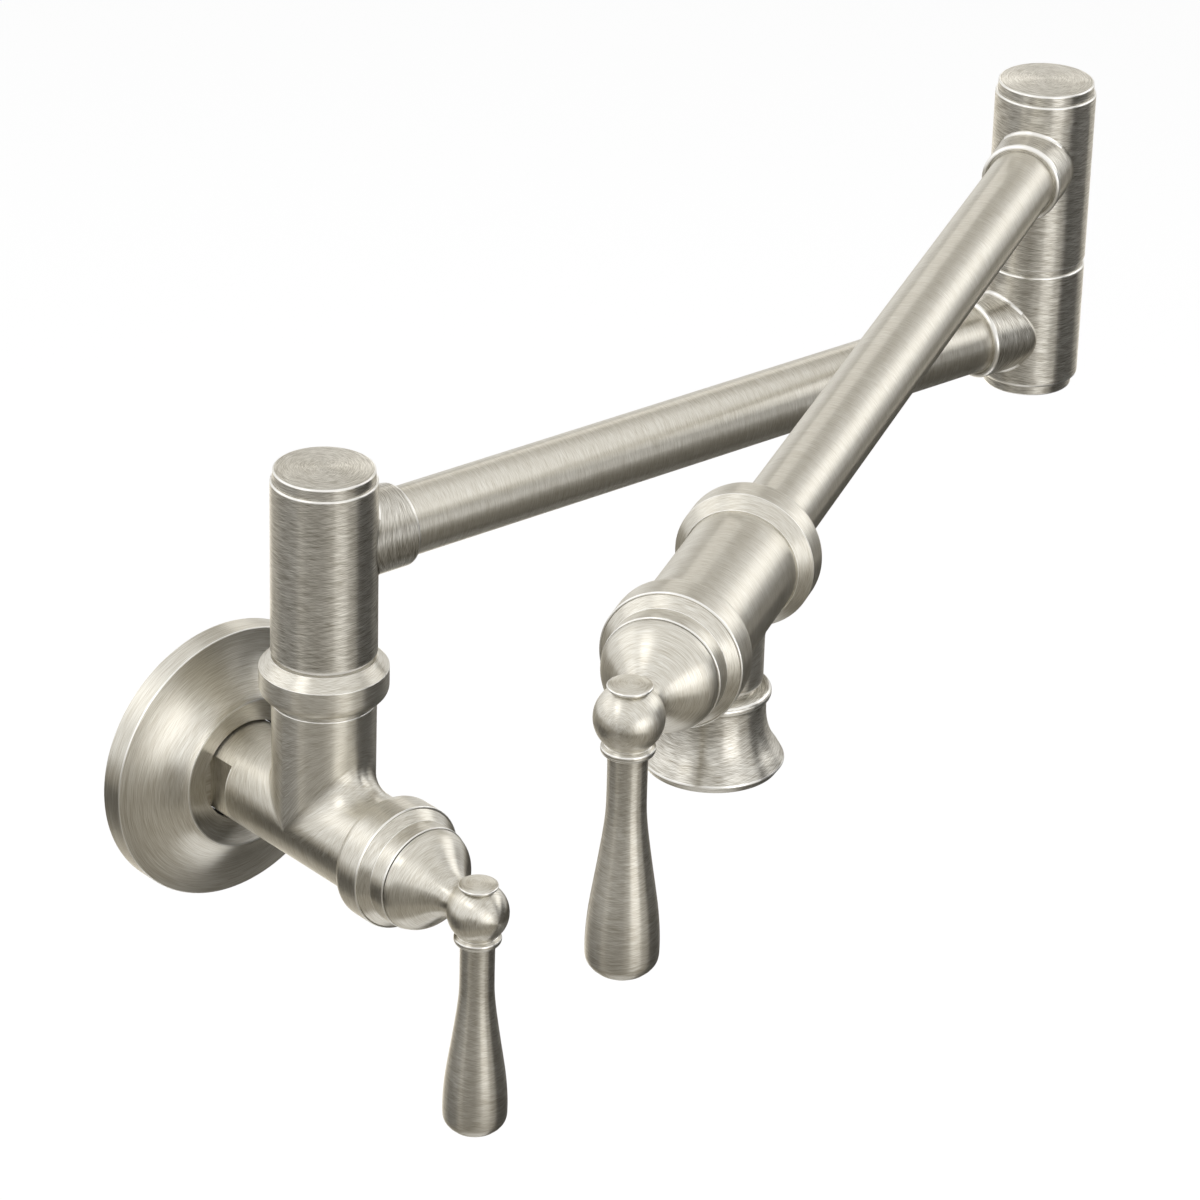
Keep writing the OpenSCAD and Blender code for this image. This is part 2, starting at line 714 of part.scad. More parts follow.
module wall_bonnet_nut() {
    at_wall_valve() bonnet_nut();
}

module wall_cartridge() {
    at_wall_valve() cartridge();
}

module wall_fixed_disc() {
    at_wall_valve() fixed_disc();
}

module wall_seat_seal() {
    at_wall_valve() seat_seal();
}

module wall_stem() {
    at_wall_valve() stem();
}

module wall_moving_disc() {
    at_wall_valve() moving_disc();
}

module wall_handle_hub() {
    at_wall_valve() handle_hub();
}

module wall_lever() {
    at_wall_valve() lever();
}

module wall_finial() {
    at_wall_valve() finial();
}

module wall_set_screw() {
    at_wall_valve() set_screw();
}

// The first swivel joint

module at_post_sleeve() {
    at_post() translate([0, 0, post_sleeve_z]) children();
}

module swivel_post() {
    at_post_sleeve() swivel_stem(post_sleeve_z - boss_top, pivot_thread_l);
}

module post_o_rings() {
    at_post_sleeve() o_rings();
}

module swivel_collar() {
    neck_top = boss_top + collar_neck_h;
    band_bottom = neck_top + collar_round;
    color(nickel) at_post() turned_z(concat(
        [[pivot_r + seat_gap, boss_top], [collar_neck_r, boss_top]],
        quarter_points(collar_neck_r, collar_r, band_bottom),
        [[collar_r, collar_top - collar_cone_h], [collar_top_r, collar_top],
            [pivot_r + seat_gap, collar_top]]));
}

module post_thrust_washer() {
    at_post_sleeve() thrust_washer(post_washer_t, post_washer_r);
}

module post_lock_washer() {
    at_post_sleeve() lock_washer();
}

module post_lock_nut() {
    at_post_sleeve() lock_nut();
}

// The first arm

module post_sleeve() {
    translate([0, 0, post_sleeve_z]) along_arm_1() sleeve();
}

module post_cap() {
    at_post_sleeve() translate([0, 0, sleeve_h]) cap(cap_r, well_r);
}

module arm_tube(x0, x1) {
    color(nickel) difference() {
        rod_x(x0, x1, tube_r);
        rod_x(x0 - over, x1 + over, tube_bore_r);
    }
}

module arm_1_tube() {
    translate([0, 0, arm_1_z]) along_arm_1() arm_tube(tube_seat, arm_1_l - tube_seat);
}

module elbow_housing() {
    color(nickel) at_elbow() difference() {
        union() {
            turned_z(concat([[0, housing_bottom]],
                [for (a = [0 : 15 : 90]) [post_r - housing_round * (1 - sin(a)),
                    housing_bottom + housing_round * (1 - cos(a))]],
                [[post_r, housing_top - edge], [post_r - edge, housing_top], [0, housing_top]]));
            translate([0, 0, arm_1_z]) rotate([0, 0, 180]) arm_boss();
        }
        rod_z(housing_bottom - over, chamber_top, chamber_r);
        rod_z(chamber_top - over, housing_top + over, pivot_thread_r + seat_gap);
        translate([0, 0, arm_1_z]) rotate([0, 0, 180]) arm_boss_ways();
    }
}

module elbow_bottom_cap() {
    at_elbow() translate([0, 0, housing_bottom]) mirror([0, 0, 1]) cap(bottom_cap_r, chamber_r);
}

module at_elbow_sleeve() {
    at_elbow() translate([0, 0, elbow_sleeve_z]) children();
}

module elbow_stem() {
    at_elbow_sleeve() swivel_stem(elbow_washer_t, housing_roof);
}

module elbow_o_rings() {
    at_elbow_sleeve() o_rings();
}

module elbow_thrust_washer() {
    at_elbow_sleeve() thrust_washer(elbow_washer_t, elbow_washer_r);
}

module elbow_lock_washer() {
    at_elbow_sleeve() lock_washer();
}

module elbow_lock_nut() {
    at_elbow_sleeve() lock_nut();
}

// The second arm

module elbow_sleeve() {
    translate([0, 0, elbow_sleeve_z]) along_arm_2() sleeve();
}

module elbow_cap() {
    at_elbow_sleeve() translate([0, 0, sleeve_h]) cap(cap_r, well_r);
}

module arm_2_tube() {
    translate([0, 0, arm_2_z]) along_arm_2() arm_tube(tube_seat, spout_reach + port_back - u_tube_end);
}

module outlet_coupling_nut() {
    band_back = -u_outlet_end - coupling_l + ring_r - outlet_r;
    color(nickel) at_outlet_valve() turned_x(concat(
        quarter_points(outlet_r, ring_r, band_back),
        [[ring_r, -u_outlet_end - collar_cone_h], [bonnet_r, -u_outlet_end],
            [bonnet_thread_r, -u_outlet_end], [bonnet_thread_r, -u_tube_end],
            [tube_r + seat_gap, -u_tube_end], [tube_r + seat_gap, -u_outlet_end - coupling_l]]));
}

module outlet_valve_body() {
    color(nickel) at_outlet_valve() difference() {
        union() {
            barrel(outlet_r, u_outlet_end);
            translate([-port_back, 0, 0]) turned_z(concat([[0, -spout_boss_l]],
                [for (a = [0 : 15 : 90]) [spout_boss_r - spout_boss_round * (1 - sin(a)),
                    -spout_boss_l + spout_boss_round * (1 - cos(a))]],
                [[spout_boss_r, 0], [0, 0]]));
        }
        mirror([0, 0, 1]) valve_ways(u_outlet_end, spout_boss_l);
        rod_x(-u_outlet_end - over, -u_tube_end, bonnet_thread_r + seat_gap);
        translate([-port_back, 0, 0])
            rod_z(-spout_boss_l - over, bell_thread_l - spout_boss_l, bell_thread_r + seat_gap);
    }
}

module outlet_bonnet_nut() {
    at_outlet_valve() bonnet_nut();
}

module outlet_cartridge() {
    at_outlet_valve() cartridge();
}

module outlet_fixed_disc() {
    at_outlet_valve() fixed_disc();
}

module outlet_seat_seal() {
    at_outlet_valve() seat_seal();
}

module outlet_stem() {
    at_outlet_valve() stem();
}

module outlet_moving_disc() {
    at_outlet_valve() moving_disc();
}

module outlet_handle_hub() {
    at_outlet_valve() handle_hub();
}

module outlet_lever() {
    at_outlet_valve() lever();
}

module outlet_finial() {
    at_outlet_valve() finial();
}

module outlet_set_screw() {
    at_outlet_valve() set_screw();
}

// The spout's bell; z is measured from the boss's lower face

bell_neck_z = -bell_cove_h - bell_bead_h;
bell_wide_z = bell_neck_z - bell_flare_h;
bell_bottom_z = bell_wide_z - bell_rim_h;
screen_z = bell_bottom_z + aerator_inset;
cavity_z = screen_z + aerator_h + aerator_washer_t;

module at_bell() {
    at_outlet_valve() translate([-port_back, 0, -spout_boss_l]) children();
}

module spout_bell() {
    bead = [for (s = bell_bead_shares) [s[1] * bell_bead_r, -bell_cove_h - s[0] * bell_bead_h]];
    flare = [for (s = bell_flare_shares) [bell_neck_r + s[1] * (bell_r - bell_neck_r),
        bell_neck_z - s[0] * bell_flare_h]];
    color(nickel) at_bell() difference() {
        turned_z(concat([[0, bell_thread_l], [bell_thread_r, bell_thread_l], [bell_thread_r, 0],
            [bell_cove_r, 0], [bell_cove_r, -bell_cove_h]],
            bead, flare, [[bell_r - bell_rim_w, bell_bottom_z], [0, bell_bottom_z]]));
        rod_z(bell_bottom_z, bell_thread_l + over, port_r);
        rod_z(bell_bottom_z - over, cavity_z, bell_cavity_r);
    }
}

module aerator_washer() {
    color(rubber) at_bell() ring_z(screen_z + aerator_h, cavity_z, bell_cavity_r - seat_gap,
        bell_cavity_r - 2 * aerator_wall);
}

module aerator() {
    pitch = screen_pitch_share * screen_hole_r;
    inner_r = bell_cavity_r - seat_gap - aerator_wall;
    color(nickel) at_bell() difference() {
        rod_z(screen_z, screen_z + aerator_h, bell_cavity_r - seat_gap);
        rod_z(screen_z + screen_t, screen_z + aerator_h + over, inner_r);
        rod_z(screen_z - over, screen_z + screen_t + over, screen_hole_r);
        for (ring = [1 : 3], i = [0 : 6 * ring - 1])
            rotate([0, 0, 60 * i / ring]) translate([ring * pitch, 0, 0])
                rod_z(screen_z - over, screen_z + screen_t + over, screen_hole_r);
    }
}

wall_gasket();
wall_flange();
flange_grip_ring();
wall_valve_body();
wall_bonnet_nut();
wall_cartridge();
wall_fixed_disc();
wall_seat_seal();
swivel_post();
post_o_rings();
swivel_collar();
post_thrust_washer();
post_lock_washer();
post_lock_nut();
wall_stem();
wall_moving_disc();
wall_handle_hub();
wall_lever();
wall_finial();
wall_set_screw();
post_sleeve();
post_cap();
arm_1_tube();
elbow_housing();
elbow_bottom_cap();
elbow_stem();
elbow_o_rings();
elbow_thrust_washer();
elbow_lock_washer();
elbow_lock_nut();
elbow_sleeve();
elbow_cap();
arm_2_tube();
outlet_coupling_nut();
outlet_valve_body();
outlet_bonnet_nut();
outlet_cartridge();
outlet_fixed_disc();
outlet_seat_seal();
spout_bell();
aerator_washer();
aerator();
outlet_stem();
outlet_moving_disc();
outlet_handle_hub();
outlet_lever();
outlet_finial();
outlet_set_screw();
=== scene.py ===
import json
import math

import bmesh
import bpy
import numpy as np
from mathutils import Matrix, Vector


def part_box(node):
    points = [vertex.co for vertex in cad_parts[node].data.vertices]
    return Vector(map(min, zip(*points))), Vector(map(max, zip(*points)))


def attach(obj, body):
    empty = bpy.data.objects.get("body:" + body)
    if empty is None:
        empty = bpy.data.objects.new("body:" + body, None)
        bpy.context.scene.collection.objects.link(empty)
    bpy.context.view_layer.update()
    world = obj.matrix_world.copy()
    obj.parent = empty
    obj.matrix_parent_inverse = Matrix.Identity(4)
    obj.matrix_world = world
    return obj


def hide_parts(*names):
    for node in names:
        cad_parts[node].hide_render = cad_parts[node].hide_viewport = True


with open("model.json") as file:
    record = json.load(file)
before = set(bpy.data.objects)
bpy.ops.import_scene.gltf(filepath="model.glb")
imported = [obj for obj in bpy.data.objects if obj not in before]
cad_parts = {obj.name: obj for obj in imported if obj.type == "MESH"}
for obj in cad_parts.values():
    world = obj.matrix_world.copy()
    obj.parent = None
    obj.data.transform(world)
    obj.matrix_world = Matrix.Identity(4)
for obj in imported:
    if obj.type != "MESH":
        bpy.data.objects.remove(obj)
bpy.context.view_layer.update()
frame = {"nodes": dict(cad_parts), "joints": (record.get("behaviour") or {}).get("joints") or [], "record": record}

# Lengths are in millimetres unless a line says otherwise, and meshes in metres
MM = 0.001
# How far along a straight side the point lies that only gives its direction
OVER = 1.0

# Meshes: columns round a turned piece
COLUMNS = 128
# A rounded corner's largest turn per step in degrees, and its fewest steps
CORNER_STEP = 15.0
CORNER_LEAST = 3
# Steps of a curve between two points, of a fillet and of a shoulder
CURVE_STEPS = 4
FILLET_STEPS = 8
SHOULDER_STEPS = 8
# A fillet that turns by less than this, in radians, is taken as straight, and no divisor is less than TINY
STRAIGHT_TURN = 1e-4
TINY = 1e-9
# The block of wall round a branch: cells along each side, and half its angle in degrees
BLOCK_CELLS = 32
BLOCK_ANGLE = 76.0
# Rings from the block's sides to the fillet, as shares of the way, and rings along the branch
APRON_SHARES = (0, 0.3, 0.55, 0.75, 0.9, 1)
BRANCH_ROWS = 7
# Faces that turn by more than this, in degrees, meet in a sharp edge
SHARP_ANGLE = 28.0
# Points closer than this, in metres, become one
WELD = 1e-6

# Small rounds that get a painted highlight in the base colour: least turn in degrees, widest face, largest round,
# largest fillet
EDGE_TURN = 8.0
EDGE_WIDTH = 0.4
EDGE_R = 1.6
FILLET_EDGE_R = 1.1

# Camera, fitted to the photograph; its angles are in degrees, and it sees as far as CAMERA_REACH_M metres
CAMERA_AT = (-852.08, -1135.58, 773.56)
CAMERA_AZIMUTH = 41.547
CAMERA_ELEVATION = 26.891
CAMERA_ROLL = 1.606
CAMERA_LENS = 157.166
CAMERA_SENSOR = 36.0
CAMERA_REACH_M = 50.0

# Valves: radii, and places as distances behind the centre of the handle ball
BODY_R = 15.65
OUTLET_R = 15.9
BOSS_R = 15.8
RING_R = 19.6
RING_EDGE = 0.45
RING_FRONT = 33.1
RING_BACK = 40.7
BONNET_R = 16.35
BONNET_THREAD_R = 12.95
BONNET_BORE_R = 7.15
BONNET_STEP = 0.6
BONNET_STEP_ROUND = 0.12
BONNET_NECK_ROUND = 0.3
BONNET_EDGE = 0.35
BONNET_BORE_ROUND = 0.3
CONE_END = 30.1
COLLAR_END = 24.6
THREAD_END = 45.1
SEAT = 60.5
CARTRIDGE_R = 10.95
PORT_BACK = 72.8
WALL_END = 124.3
WALL_END_TAPER = 0.35
# The wall valve's inlet, boss and flats: the boss is measured from the axis, and the flats from the wall
INLET_R = 9.15
INLET_L = 14.0
BOSS_TOP = 40.4
BOSS_TOP_ROUND = 0.5
BOSS_SHOULDER = 2.0
BOSS_THREAD_R = 9.0
BOSS_THREAD_L = 18.0
TEE_FRONT_FILLET = 8.5
TEE_REAR_FILLET = 3.0
FLAT_HALF = 12.8
FLAT_FRONT = 22.8
FLAT_REAR = 12.0
FLAT_LEAD = 0.4

# Handles
HUB_R = 15.95
HUB_L = 24.3
HUB_EDGE = 0.3
HUB_BOSS_R = 6.85
STEM_BORE_R = 4.05
STEM_TIP = 12.15
BALL_R = 9.27
BALL_SEAT_GAP = 0.03

# Swivels and arms: ARM_UP is an arm's height above its sleeve's foot, and the elbow's housing reaches
# HOUSING_UP and HOUSING_DOWN from the first arm's axis
POST_R = 16.0
SLEEVE_H = 56.0
SLEEVE_FOOT_ROUND = 0.5
POST_TOP_ROUND = 0.6
ARM_UP = 33.9
HOUSING_UP = 21.6
HOUSING_DOWN = 17.0
HOUSING_FOOT_ROUND = 1.2
HOUSING_BORE_L = 11.0
HOUSING_THREAD_L = 10.0
PIVOT_BORE_R = 10.05
WELL_R = 13.6
WELL_DEPTH = 9.8
CAP_R = 15.2
CAP_T = 4.0
CAP_ROUND = 0.6
CAP_FOOT_ROUND = 0.2
# The cap's dome: its rise, and the radii of its points as shares
CAP_DOME = 0.6
CAP_DOME_SHARES = (0.9, 0.8, 0.65, 0.5, 0.35, 0.2, 0.1, 0)
# The point that gives the dome's direction at the rim: how far in it lies, and its share of the dome's fall
CAP_LEAD = 1.5
CAP_LEAD_SHARE = 0.8
CAP_SPIGOT_WALL = 2.0
CAP_SPIGOT_H = 3.2
BOTTOM_CAP_R = 14.2
COLLAR_R = 19.5
COLLAR_NECK_R = 15.9
COLLAR_NECK_H = 1.6
POST_WASHER_T = 1.3
POST_WASHER_R = 14.6
ELBOW_WASHER_T = 2.1
ELBOW_WASHER_R = 15.3
TUBE_R = 10.7
TUBE_WALL = 1.5
TUBE_SEAT = 15.0
TUBE_ROWS = 12
ARM_BOSS_R = 12.8
ARM_BOSS_L = 26.4
ARM_BOSS_ROUND = 1.1
ARM_FILLET = 1.0
# Half heights of the blocks round the arms' bosses
SLEEVE_BLOCK = 16.6
HOUSING_BLOCK = 15.2
# Rounds of washers, sockets and nuts, and the gap of a fitted pair
SMALL_ROUND = 0.15
NUT_EDGE = 0.3
FIT_GAP = 0.05

# Outlet, with its ends as distances behind the ball too
OUTLET_END = 92.2
OUTLET_EDGE = 0.35
TUBE_END = 84.2
COUPLING_L = 14.2
COUPLING_END_ROUND = 0.2
# Height of the cone on the collar and on the coupling nut
NUT_CONE_H = 3.8
SPOUT_BOSS_R = 13.0
SPOUT_BOSS_L = 24.6
SPOUT_BOSS_ROUND = 1.5
SPOUT_FILLET = 4.0
# Half height of the block round the spout's boss
SPOUT_BLOCK = 18.4
BELL_THREAD_R = 8.95
BELL_THREAD_L = 12.0


# Frames

def joint_place(name):
    joint = next(j for j in frame["joints"] if j["name"] == name)
    return Vector(joint["pos_m"]), Vector(joint["axis"]).normalized()


def placed(origin, z_axis, x_axis):
    """A frame whose Z is a piece's turning axis, and whose X is its branch."""
    z = Vector(z_axis).normalized()
    y = z.cross(Vector(x_axis)).normalized()
    x = y.cross(z)
    matrix = Matrix((x, y, z)).transposed().to_4x4()
    matrix.translation = origin
    return matrix


UP = Vector((0, 0, 1))
wall_ball, wall_axis = joint_place("wall_handle_turn")
outlet_ball, outlet_axis = joint_place("outlet_handle_turn")
post_at, _ = joint_place("arm_1_swivel")
elbow_at, _ = joint_place("elbow_swivel")
post_sleeve_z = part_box("post_sleeve")[0].z
elbow_sleeve_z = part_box("elbow_sleeve")[0].z
arm_1_z = post_sleeve_z + ARM_UP * MM
arm_2_z = elbow_sleeve_z + ARM_UP * MM


def at_height(place, z):
    return Vector((place.x, place.y, z))


arm_1_line = at_height(elbow_at, 0) - at_height(post_at, 0)
arm_1_l = arm_1_line.length / MM
arm_1_way = arm_1_line.normalized()
arm_2_way = outlet_axis
spout_reach = (at_height(outlet_ball, 0) - at_height(elbow_at, 0)).length / MM - PORT_BACK

WALL = placed(Vector((0, 0, 0)), wall_axis, UP)
WALL_VALVE = placed(wall_ball, wall_axis, UP)
WALL_HANDLE = placed(wall_ball, UP, (1, 0, 0))
OUTLET_VALVE = placed(outlet_ball, outlet_axis, -UP)
OUTLET_HANDLE = placed(outlet_ball, UP, arm_2_way)
POST = placed(at_height(post_at, 0), UP, arm_1_way)
POST_SLEEVE = placed(at_height(post_at, post_sleeve_z), UP, arm_1_way)
ARM_1 = placed(at_height(post_at, arm_1_z), arm_1_way, UP)
HOUSING = placed(at_height(elbow_at, arm_1_z), UP, -arm_1_way)
ELBOW_SLEEVE = placed(at_height(elbow_at, elbow_sleeve_z), UP, arm_2_way)
ARM_2 = placed(at_height(elbow_at, arm_2_z), arm_2_way, UP)
spout_at = outlet_ball - outlet_axis * PORT_BACK * MM
BELL = placed(spout_at - UP * SPOUT_BOSS_L * MM, UP, arm_2_way)


# Outlines: points are (radius, height) in a piece's frame

def rounded(corners):
    """An outline whose corners (r, z, radius) become arcs; (r, z) stays a point."""
    out = []
    count = len(corners)
    for i, corner in enumerate(corners):
        here = np.array(corner[:2], float)
        radius = corner[2] if len(corner) > 2 else 0
        if radius == 0 or i in (0, count - 1):
            out.append(here)
            continue
        back = np.array(corners[i - 1][:2], float) - here
        ahead = np.array(corners[i + 1][:2], float) - here
        back /= np.linalg.norm(back)
        ahead /= np.linalg.norm(ahead)
        half = math.acos(np.clip(back @ ahead, -1, 1)) / 2
        reach = radius / math.tan(half)
        middle = (back + ahead) / np.linalg.norm(back + ahead)
        centre = here + middle * radius / math.sin(half)
        start = here + back * reach - centre
        end = here + ahead * reach - centre
        turn = math.pi - 2 * half
        steps = max(CORNER_LEAST, math.ceil(math.degrees(turn) / CORNER_STEP))
        for k in range(steps + 1):
            t = k / steps
            share_a = math.sin((1 - t) * turn) / math.sin(turn)
            share_b = math.sin(t * turn) / math.sin(turn)
            out.append(centre + start * share_a + end * share_b)
    return [tuple(p) for p in out]


def curve(points, steps=CURVE_STEPS):
    """A smooth curve through points, with steps parts between each two."""
    p = np.array(points, float)
    p = np.vstack([2 * p[0] - p[1], p, 2 * p[-1] - p[-2]])
    out = []
    for i in range(1, len(p) - 2):
        for k in range(steps):
            t = k / steps
            out.append(tuple(0.5 * (2 * p[i] + (p[i + 1] - p[i - 1]) * t
                + (2 * p[i - 1] - 5 * p[i] + 4 * p[i + 1] - p[i + 2]) * t ** 2
                + (3 * p[i] - p[i - 1] - 3 * p[i + 1] + p[i + 2]) * t ** 3)))
    out.append(tuple(p[-2]))
    return out


def bezier(p, steps):
    """A cubic curve from its four control points."""
    p = np.array(p, float)
    out = []
    for k in range(steps + 1):
        t = k / steps
        out.append(tuple((1 - t) ** 3 * p[0] + 3 * (1 - t) ** 2 * t * p[1]
            + 3 * (1 - t) * t ** 2 * p[2] + t ** 3 * p[3]))
    return out


def arc(radius, start, end, steps):
    """Points of an arc about the frame's origin; the angles are in degrees from +r."""
    angles = np.radians(np.linspace(start, end, steps + 1))
    return [(radius * math.cos(a), radius * math.sin(a)) for a in angles]


def quarter_round(r, big, z):
    """Points of the convex shoulder from the barrel up to a raised ring's rear edge at z."""
    return [(r + (big - r) * math.sin(a), z - (big - r) * math.cos(a))
        for a in np.linspace(0, math.pi / 2, SHOULDER_STEPS + 1)]


# Skins: patches of points that are welded into one closed mesh

class Skin:
    """Patches of quads. Each corner keeps its angle round the piece and its length along the outline."""

    def __init__(self, stretch=1.0):
        """stretch is how many times longer the brush lines are."""
        self.stretch = stretch
        self.points = []
        self.faces = []
        self.brush = []
        self.uv = []
        self.count = 0

    def patch(self, points, angles, lengths, girth, around=False):
        """points has the shape (rows, columns, 3); around joins the last column to the first."""
        points = np.asarray(points, float)
        angles = np.broadcast_to(angles, points.shape[:2])
        lengths = np.broadcast_to(lengths, points.shape[:2])
        if around:
            points = np.concatenate([points, points[:, :1]], 1)
            angles = np.concatenate([angles, angles[:, :1] + 2 * math.pi], 1)
            lengths = np.concatenate([lengths, lengths[:, :1]], 1)
        rows, columns = points.shape[:2]
        index = np.arange(rows * columns).reshape(rows, columns)
        quads = np.stack([index[:-1, :-1], index[:-1, 1:], index[1:, 1:], index[1:, :-1]], -1).reshape(-1, 4)
        flat_angles = angles.reshape(-1)
        flat_lengths = lengths.reshape(-1)
        turn_r = girth / self.stretch
        brush = np.stack([turn_r * np.cos(flat_angles), turn_r * np.sin(flat_angles), flat_lengths], -1)
        uv = np.stack([flat_lengths / girth, flat_angles / (2 * math.pi)], -1)
        self.points.append(points.reshape(-1, 3))
        self.faces.append(quads + self.count)
        self.brush.append(brush[quads].reshape(-1, 3))
        self.uv.append(uv[quads].reshape(-1, 2))
        self.count += rows * columns

    def turn(self, outline, angles=None):
        """A patch turned from an outline, all the way round."""
        if angles is None:
            angles = np.linspace(0, 2 * math.pi, COLUMNS, endpoint=False)
        outline = np.array(outline, float)
        lengths = np.concatenate([[0], np.cumsum(np.linalg.norm(np.diff(outline, axis=0), axis=1))])
        r = outline[:, :1]
        z = np.broadcast_to(outline[:, 1:], (len(outline), len(angles)))
        points = np.stack([r * np.cos(angles), r * np.sin(angles), z], -1)
        self.patch(points, angles, lengths[:, None], outline[:, 0].max(), around=True)

    def mesh(self, name):
        """The patches as one welded mesh, with its small rounds marked for a painted highlight and its sharp edges
        kept.
        """
        points = np.concatenate(self.points) * MM
        faces = np.concatenate(self.faces)
        mesh = bpy.data.meshes.new(name)
        mesh.from_pydata(points.tolist(), [], faces.tolist())
        brush = mesh.attributes.new("brush", "FLOAT_VECTOR", "CORNER")
        brush.data.foreach_set("vector", (np.concatenate(self.brush) * MM).astype(np.float32).ravel())
        uv = mesh.uv_layers.new(name="turned")
        uv.data.foreach_set("uv", np.concatenate(self.uv).astype(np.float32).ravel())
        work = bmesh.new()
        work.from_mesh(mesh)
        bmesh.ops.remove_doubles(work, verts=work.verts, dist=WELD)
        bmesh.ops.dissolve_degenerate(work, edges=work.edges, dist=WELD)
        bmesh.ops.recalc_face_normals(work, faces=work.faces)
        for face in work.faces:
            face.smooth = True
        mark_highlight_edges(work)
        work.to_mesh(mesh)
        work.free()
        mesh.set_sharp_from_angle(angle=math.radians(SHARP_ANGLE))
        return mesh


def mark_highlight_edges(work):
    """Marks the narrow faces of small rounds and fillets, on which the brushed material paints a highlight into
    the base colour.
    """
    # The face attribute "edge" is the mask of the painted highlight
    mark = work.faces.layers.float.new("edge")
    for edge in work.edges:
        if len(edge.link_faces) != 2:
            continue
        turn = edge.calc_face_angle_signed(0)
        if abs(turn) < math.radians(EDGE_TURN):
            continue
        reach = turn * EDGE_R if turn > 0 else -turn * FILLET_EDGE_R
        length = max(edge.calc_length(), WELD)
        for face in edge.link_faces:
            width = face.calc_area() / length / MM
            if width < min(EDGE_WIDTH, reach):
                face[mark] = 1.0


def piece(skin, place, node, body, material):
    """The skin as an object that stands for a CAD node."""
    mesh = skin.mesh(node + "_skin")
    mesh.transform(place)
    mesh.materials.append(material)
    shown = bpy.data.objects.new(mesh.name, mesh)
    bpy.context.scene.collection.objects.link(shown)
    weighted = shown.modifiers.new("even_normals", "WEIGHTED_NORMAL")
    weighted.keep_sharp = True
    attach(shown, body)
    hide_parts(node)


def turned(outline, place, node, body, material, stretch=1.0):
    """A piece turned from one outline."""
    skin = Skin(stretch)
    skin.turn(outline)
    piece(skin, place, node, body, material)


def ring_outline(outline):
    """Closes an outline that goes round a bore."""
    return list(outline) + [outline[0]]


def block_angles(half_angle):
    """Column angles round a wall with a block of even cells between -half_angle and half_angle."""
    inside = np.linspace(-half_angle, half_angle, BLOCK_CELLS + 1)
    outside = np.linspace(half_angle, 2 * math.pi - half_angle, 2 * BLOCK_CELLS + 1)
    return inside, outside


def branched(skin, before, after, wall_r, middle, half_z, branch_r, fillet, end):
    """A turned wall of radius wall_r with a round branch along +X at height middle.
    before leads to the wall's lower end and after from its upper end; end is the branch's
    outline (r, x) from its straight part to its axis."""
    half_angle = math.radians(BLOCK_ANGLE)
    inside, outside = block_angles(half_angle)
    around = np.concatenate([inside[:-1], outside[:-1]])
    rows = np.linspace(middle - half_z, middle + half_z, BLOCK_CELLS + 1)
    skin.turn(list(before) + [(wall_r, rows[0])], around)
    skin.turn([(wall_r, rows[-1])] + list(after), around)
    wall = np.stack(np.broadcast_arrays(wall_r * np.cos(outside)[None], wall_r * np.sin(outside)[None],
        rows[:, None]), -1)
    skin.patch(wall, outside[None], rows[:, None], wall_r)

    cells = BLOCK_CELLS
    ramp = np.linspace(-1, 1, cells, endpoint=False)
    flat = np.ones(cells)
    side_angle = np.concatenate([flat, -ramp, -flat, ramp, [1]]) * half_angle
    side_z = np.concatenate([ramp, flat, -ramp, -flat, [-1]]) * half_z
    phi = np.linspace(-math.pi / 4, 7 * math.pi / 4, 4 * cells + 1)
    ball_r = branch_r + fillet
    centre_y = ball_r * np.cos(phi)
    centre_z = ball_r * np.sin(phi)
    centre_x = np.sqrt((wall_r + fillet) ** 2 - centre_y ** 2)
    touch_angle = np.arctan2(centre_y, centre_x)

    spread = np.array(APRON_SHARES)[:, None]
    ring_angle = side_angle * (1 - spread) + touch_angle * spread
    ring_z = side_z * (1 - spread) + centre_z * spread
    apron = np.stack([wall_r * np.cos(ring_angle), wall_r * np.sin(ring_angle), middle + ring_z], -1)
    skin.patch(apron, ring_angle, middle + ring_z, wall_r)

    centre = np.stack([centre_x, centre_y, centre_z], -1)
    to_wall = np.stack([-np.cos(touch_angle), -np.sin(touch_angle), 0 * phi], -1)
    to_branch = np.stack([0 * phi, -np.cos(phi), -np.sin(phi)], -1)
    rings = fillet_rings(centre, to_wall, to_branch, fillet)
    straight = end[0][1]
    for t in np.linspace(0, 1, BRANCH_ROWS)[1:]:
        x = centre_x + (straight - centre_x) * t
        rings.append(np.stack([x, branch_r * np.cos(phi), branch_r * np.sin(phi)], -1))
    for r, x in end[1:]:
        rings.append(np.stack([x + 0 * phi, r * np.cos(phi), r * np.sin(phi)], -1))
    rings = np.array(rings)
    steps = np.linalg.norm(np.diff(rings, axis=0), axis=2).mean(1)
    lengths = np.concatenate([[0], np.cumsum(steps)])
    rings[:, :, 2] += middle
    skin.patch(rings, phi[None], lengths[:, None], branch_r)


def fillet_rings(centre, from_way, to_way, radius, steps=FILLET_STEPS):
    """Rings of a rolling ball's fillet, from one contact to the other."""
    turn = np.arccos(np.clip(np.sum(from_way * to_way, -1), -1, 1))[:, None]
    safe = np.maximum(np.sin(turn), TINY)
    rings = []
    for k in range(steps + 1):
        t = k / steps
        ways = (from_way * np.sin((1 - t) * turn) + to_way * np.sin(t * turn)) / safe
        even = from_way * (1 - t) + to_way * t
        ways = np.where(turn > STRAIGHT_TURN, ways, even)
        rings.append(centre + radius * ways)
    return rings


# Materials

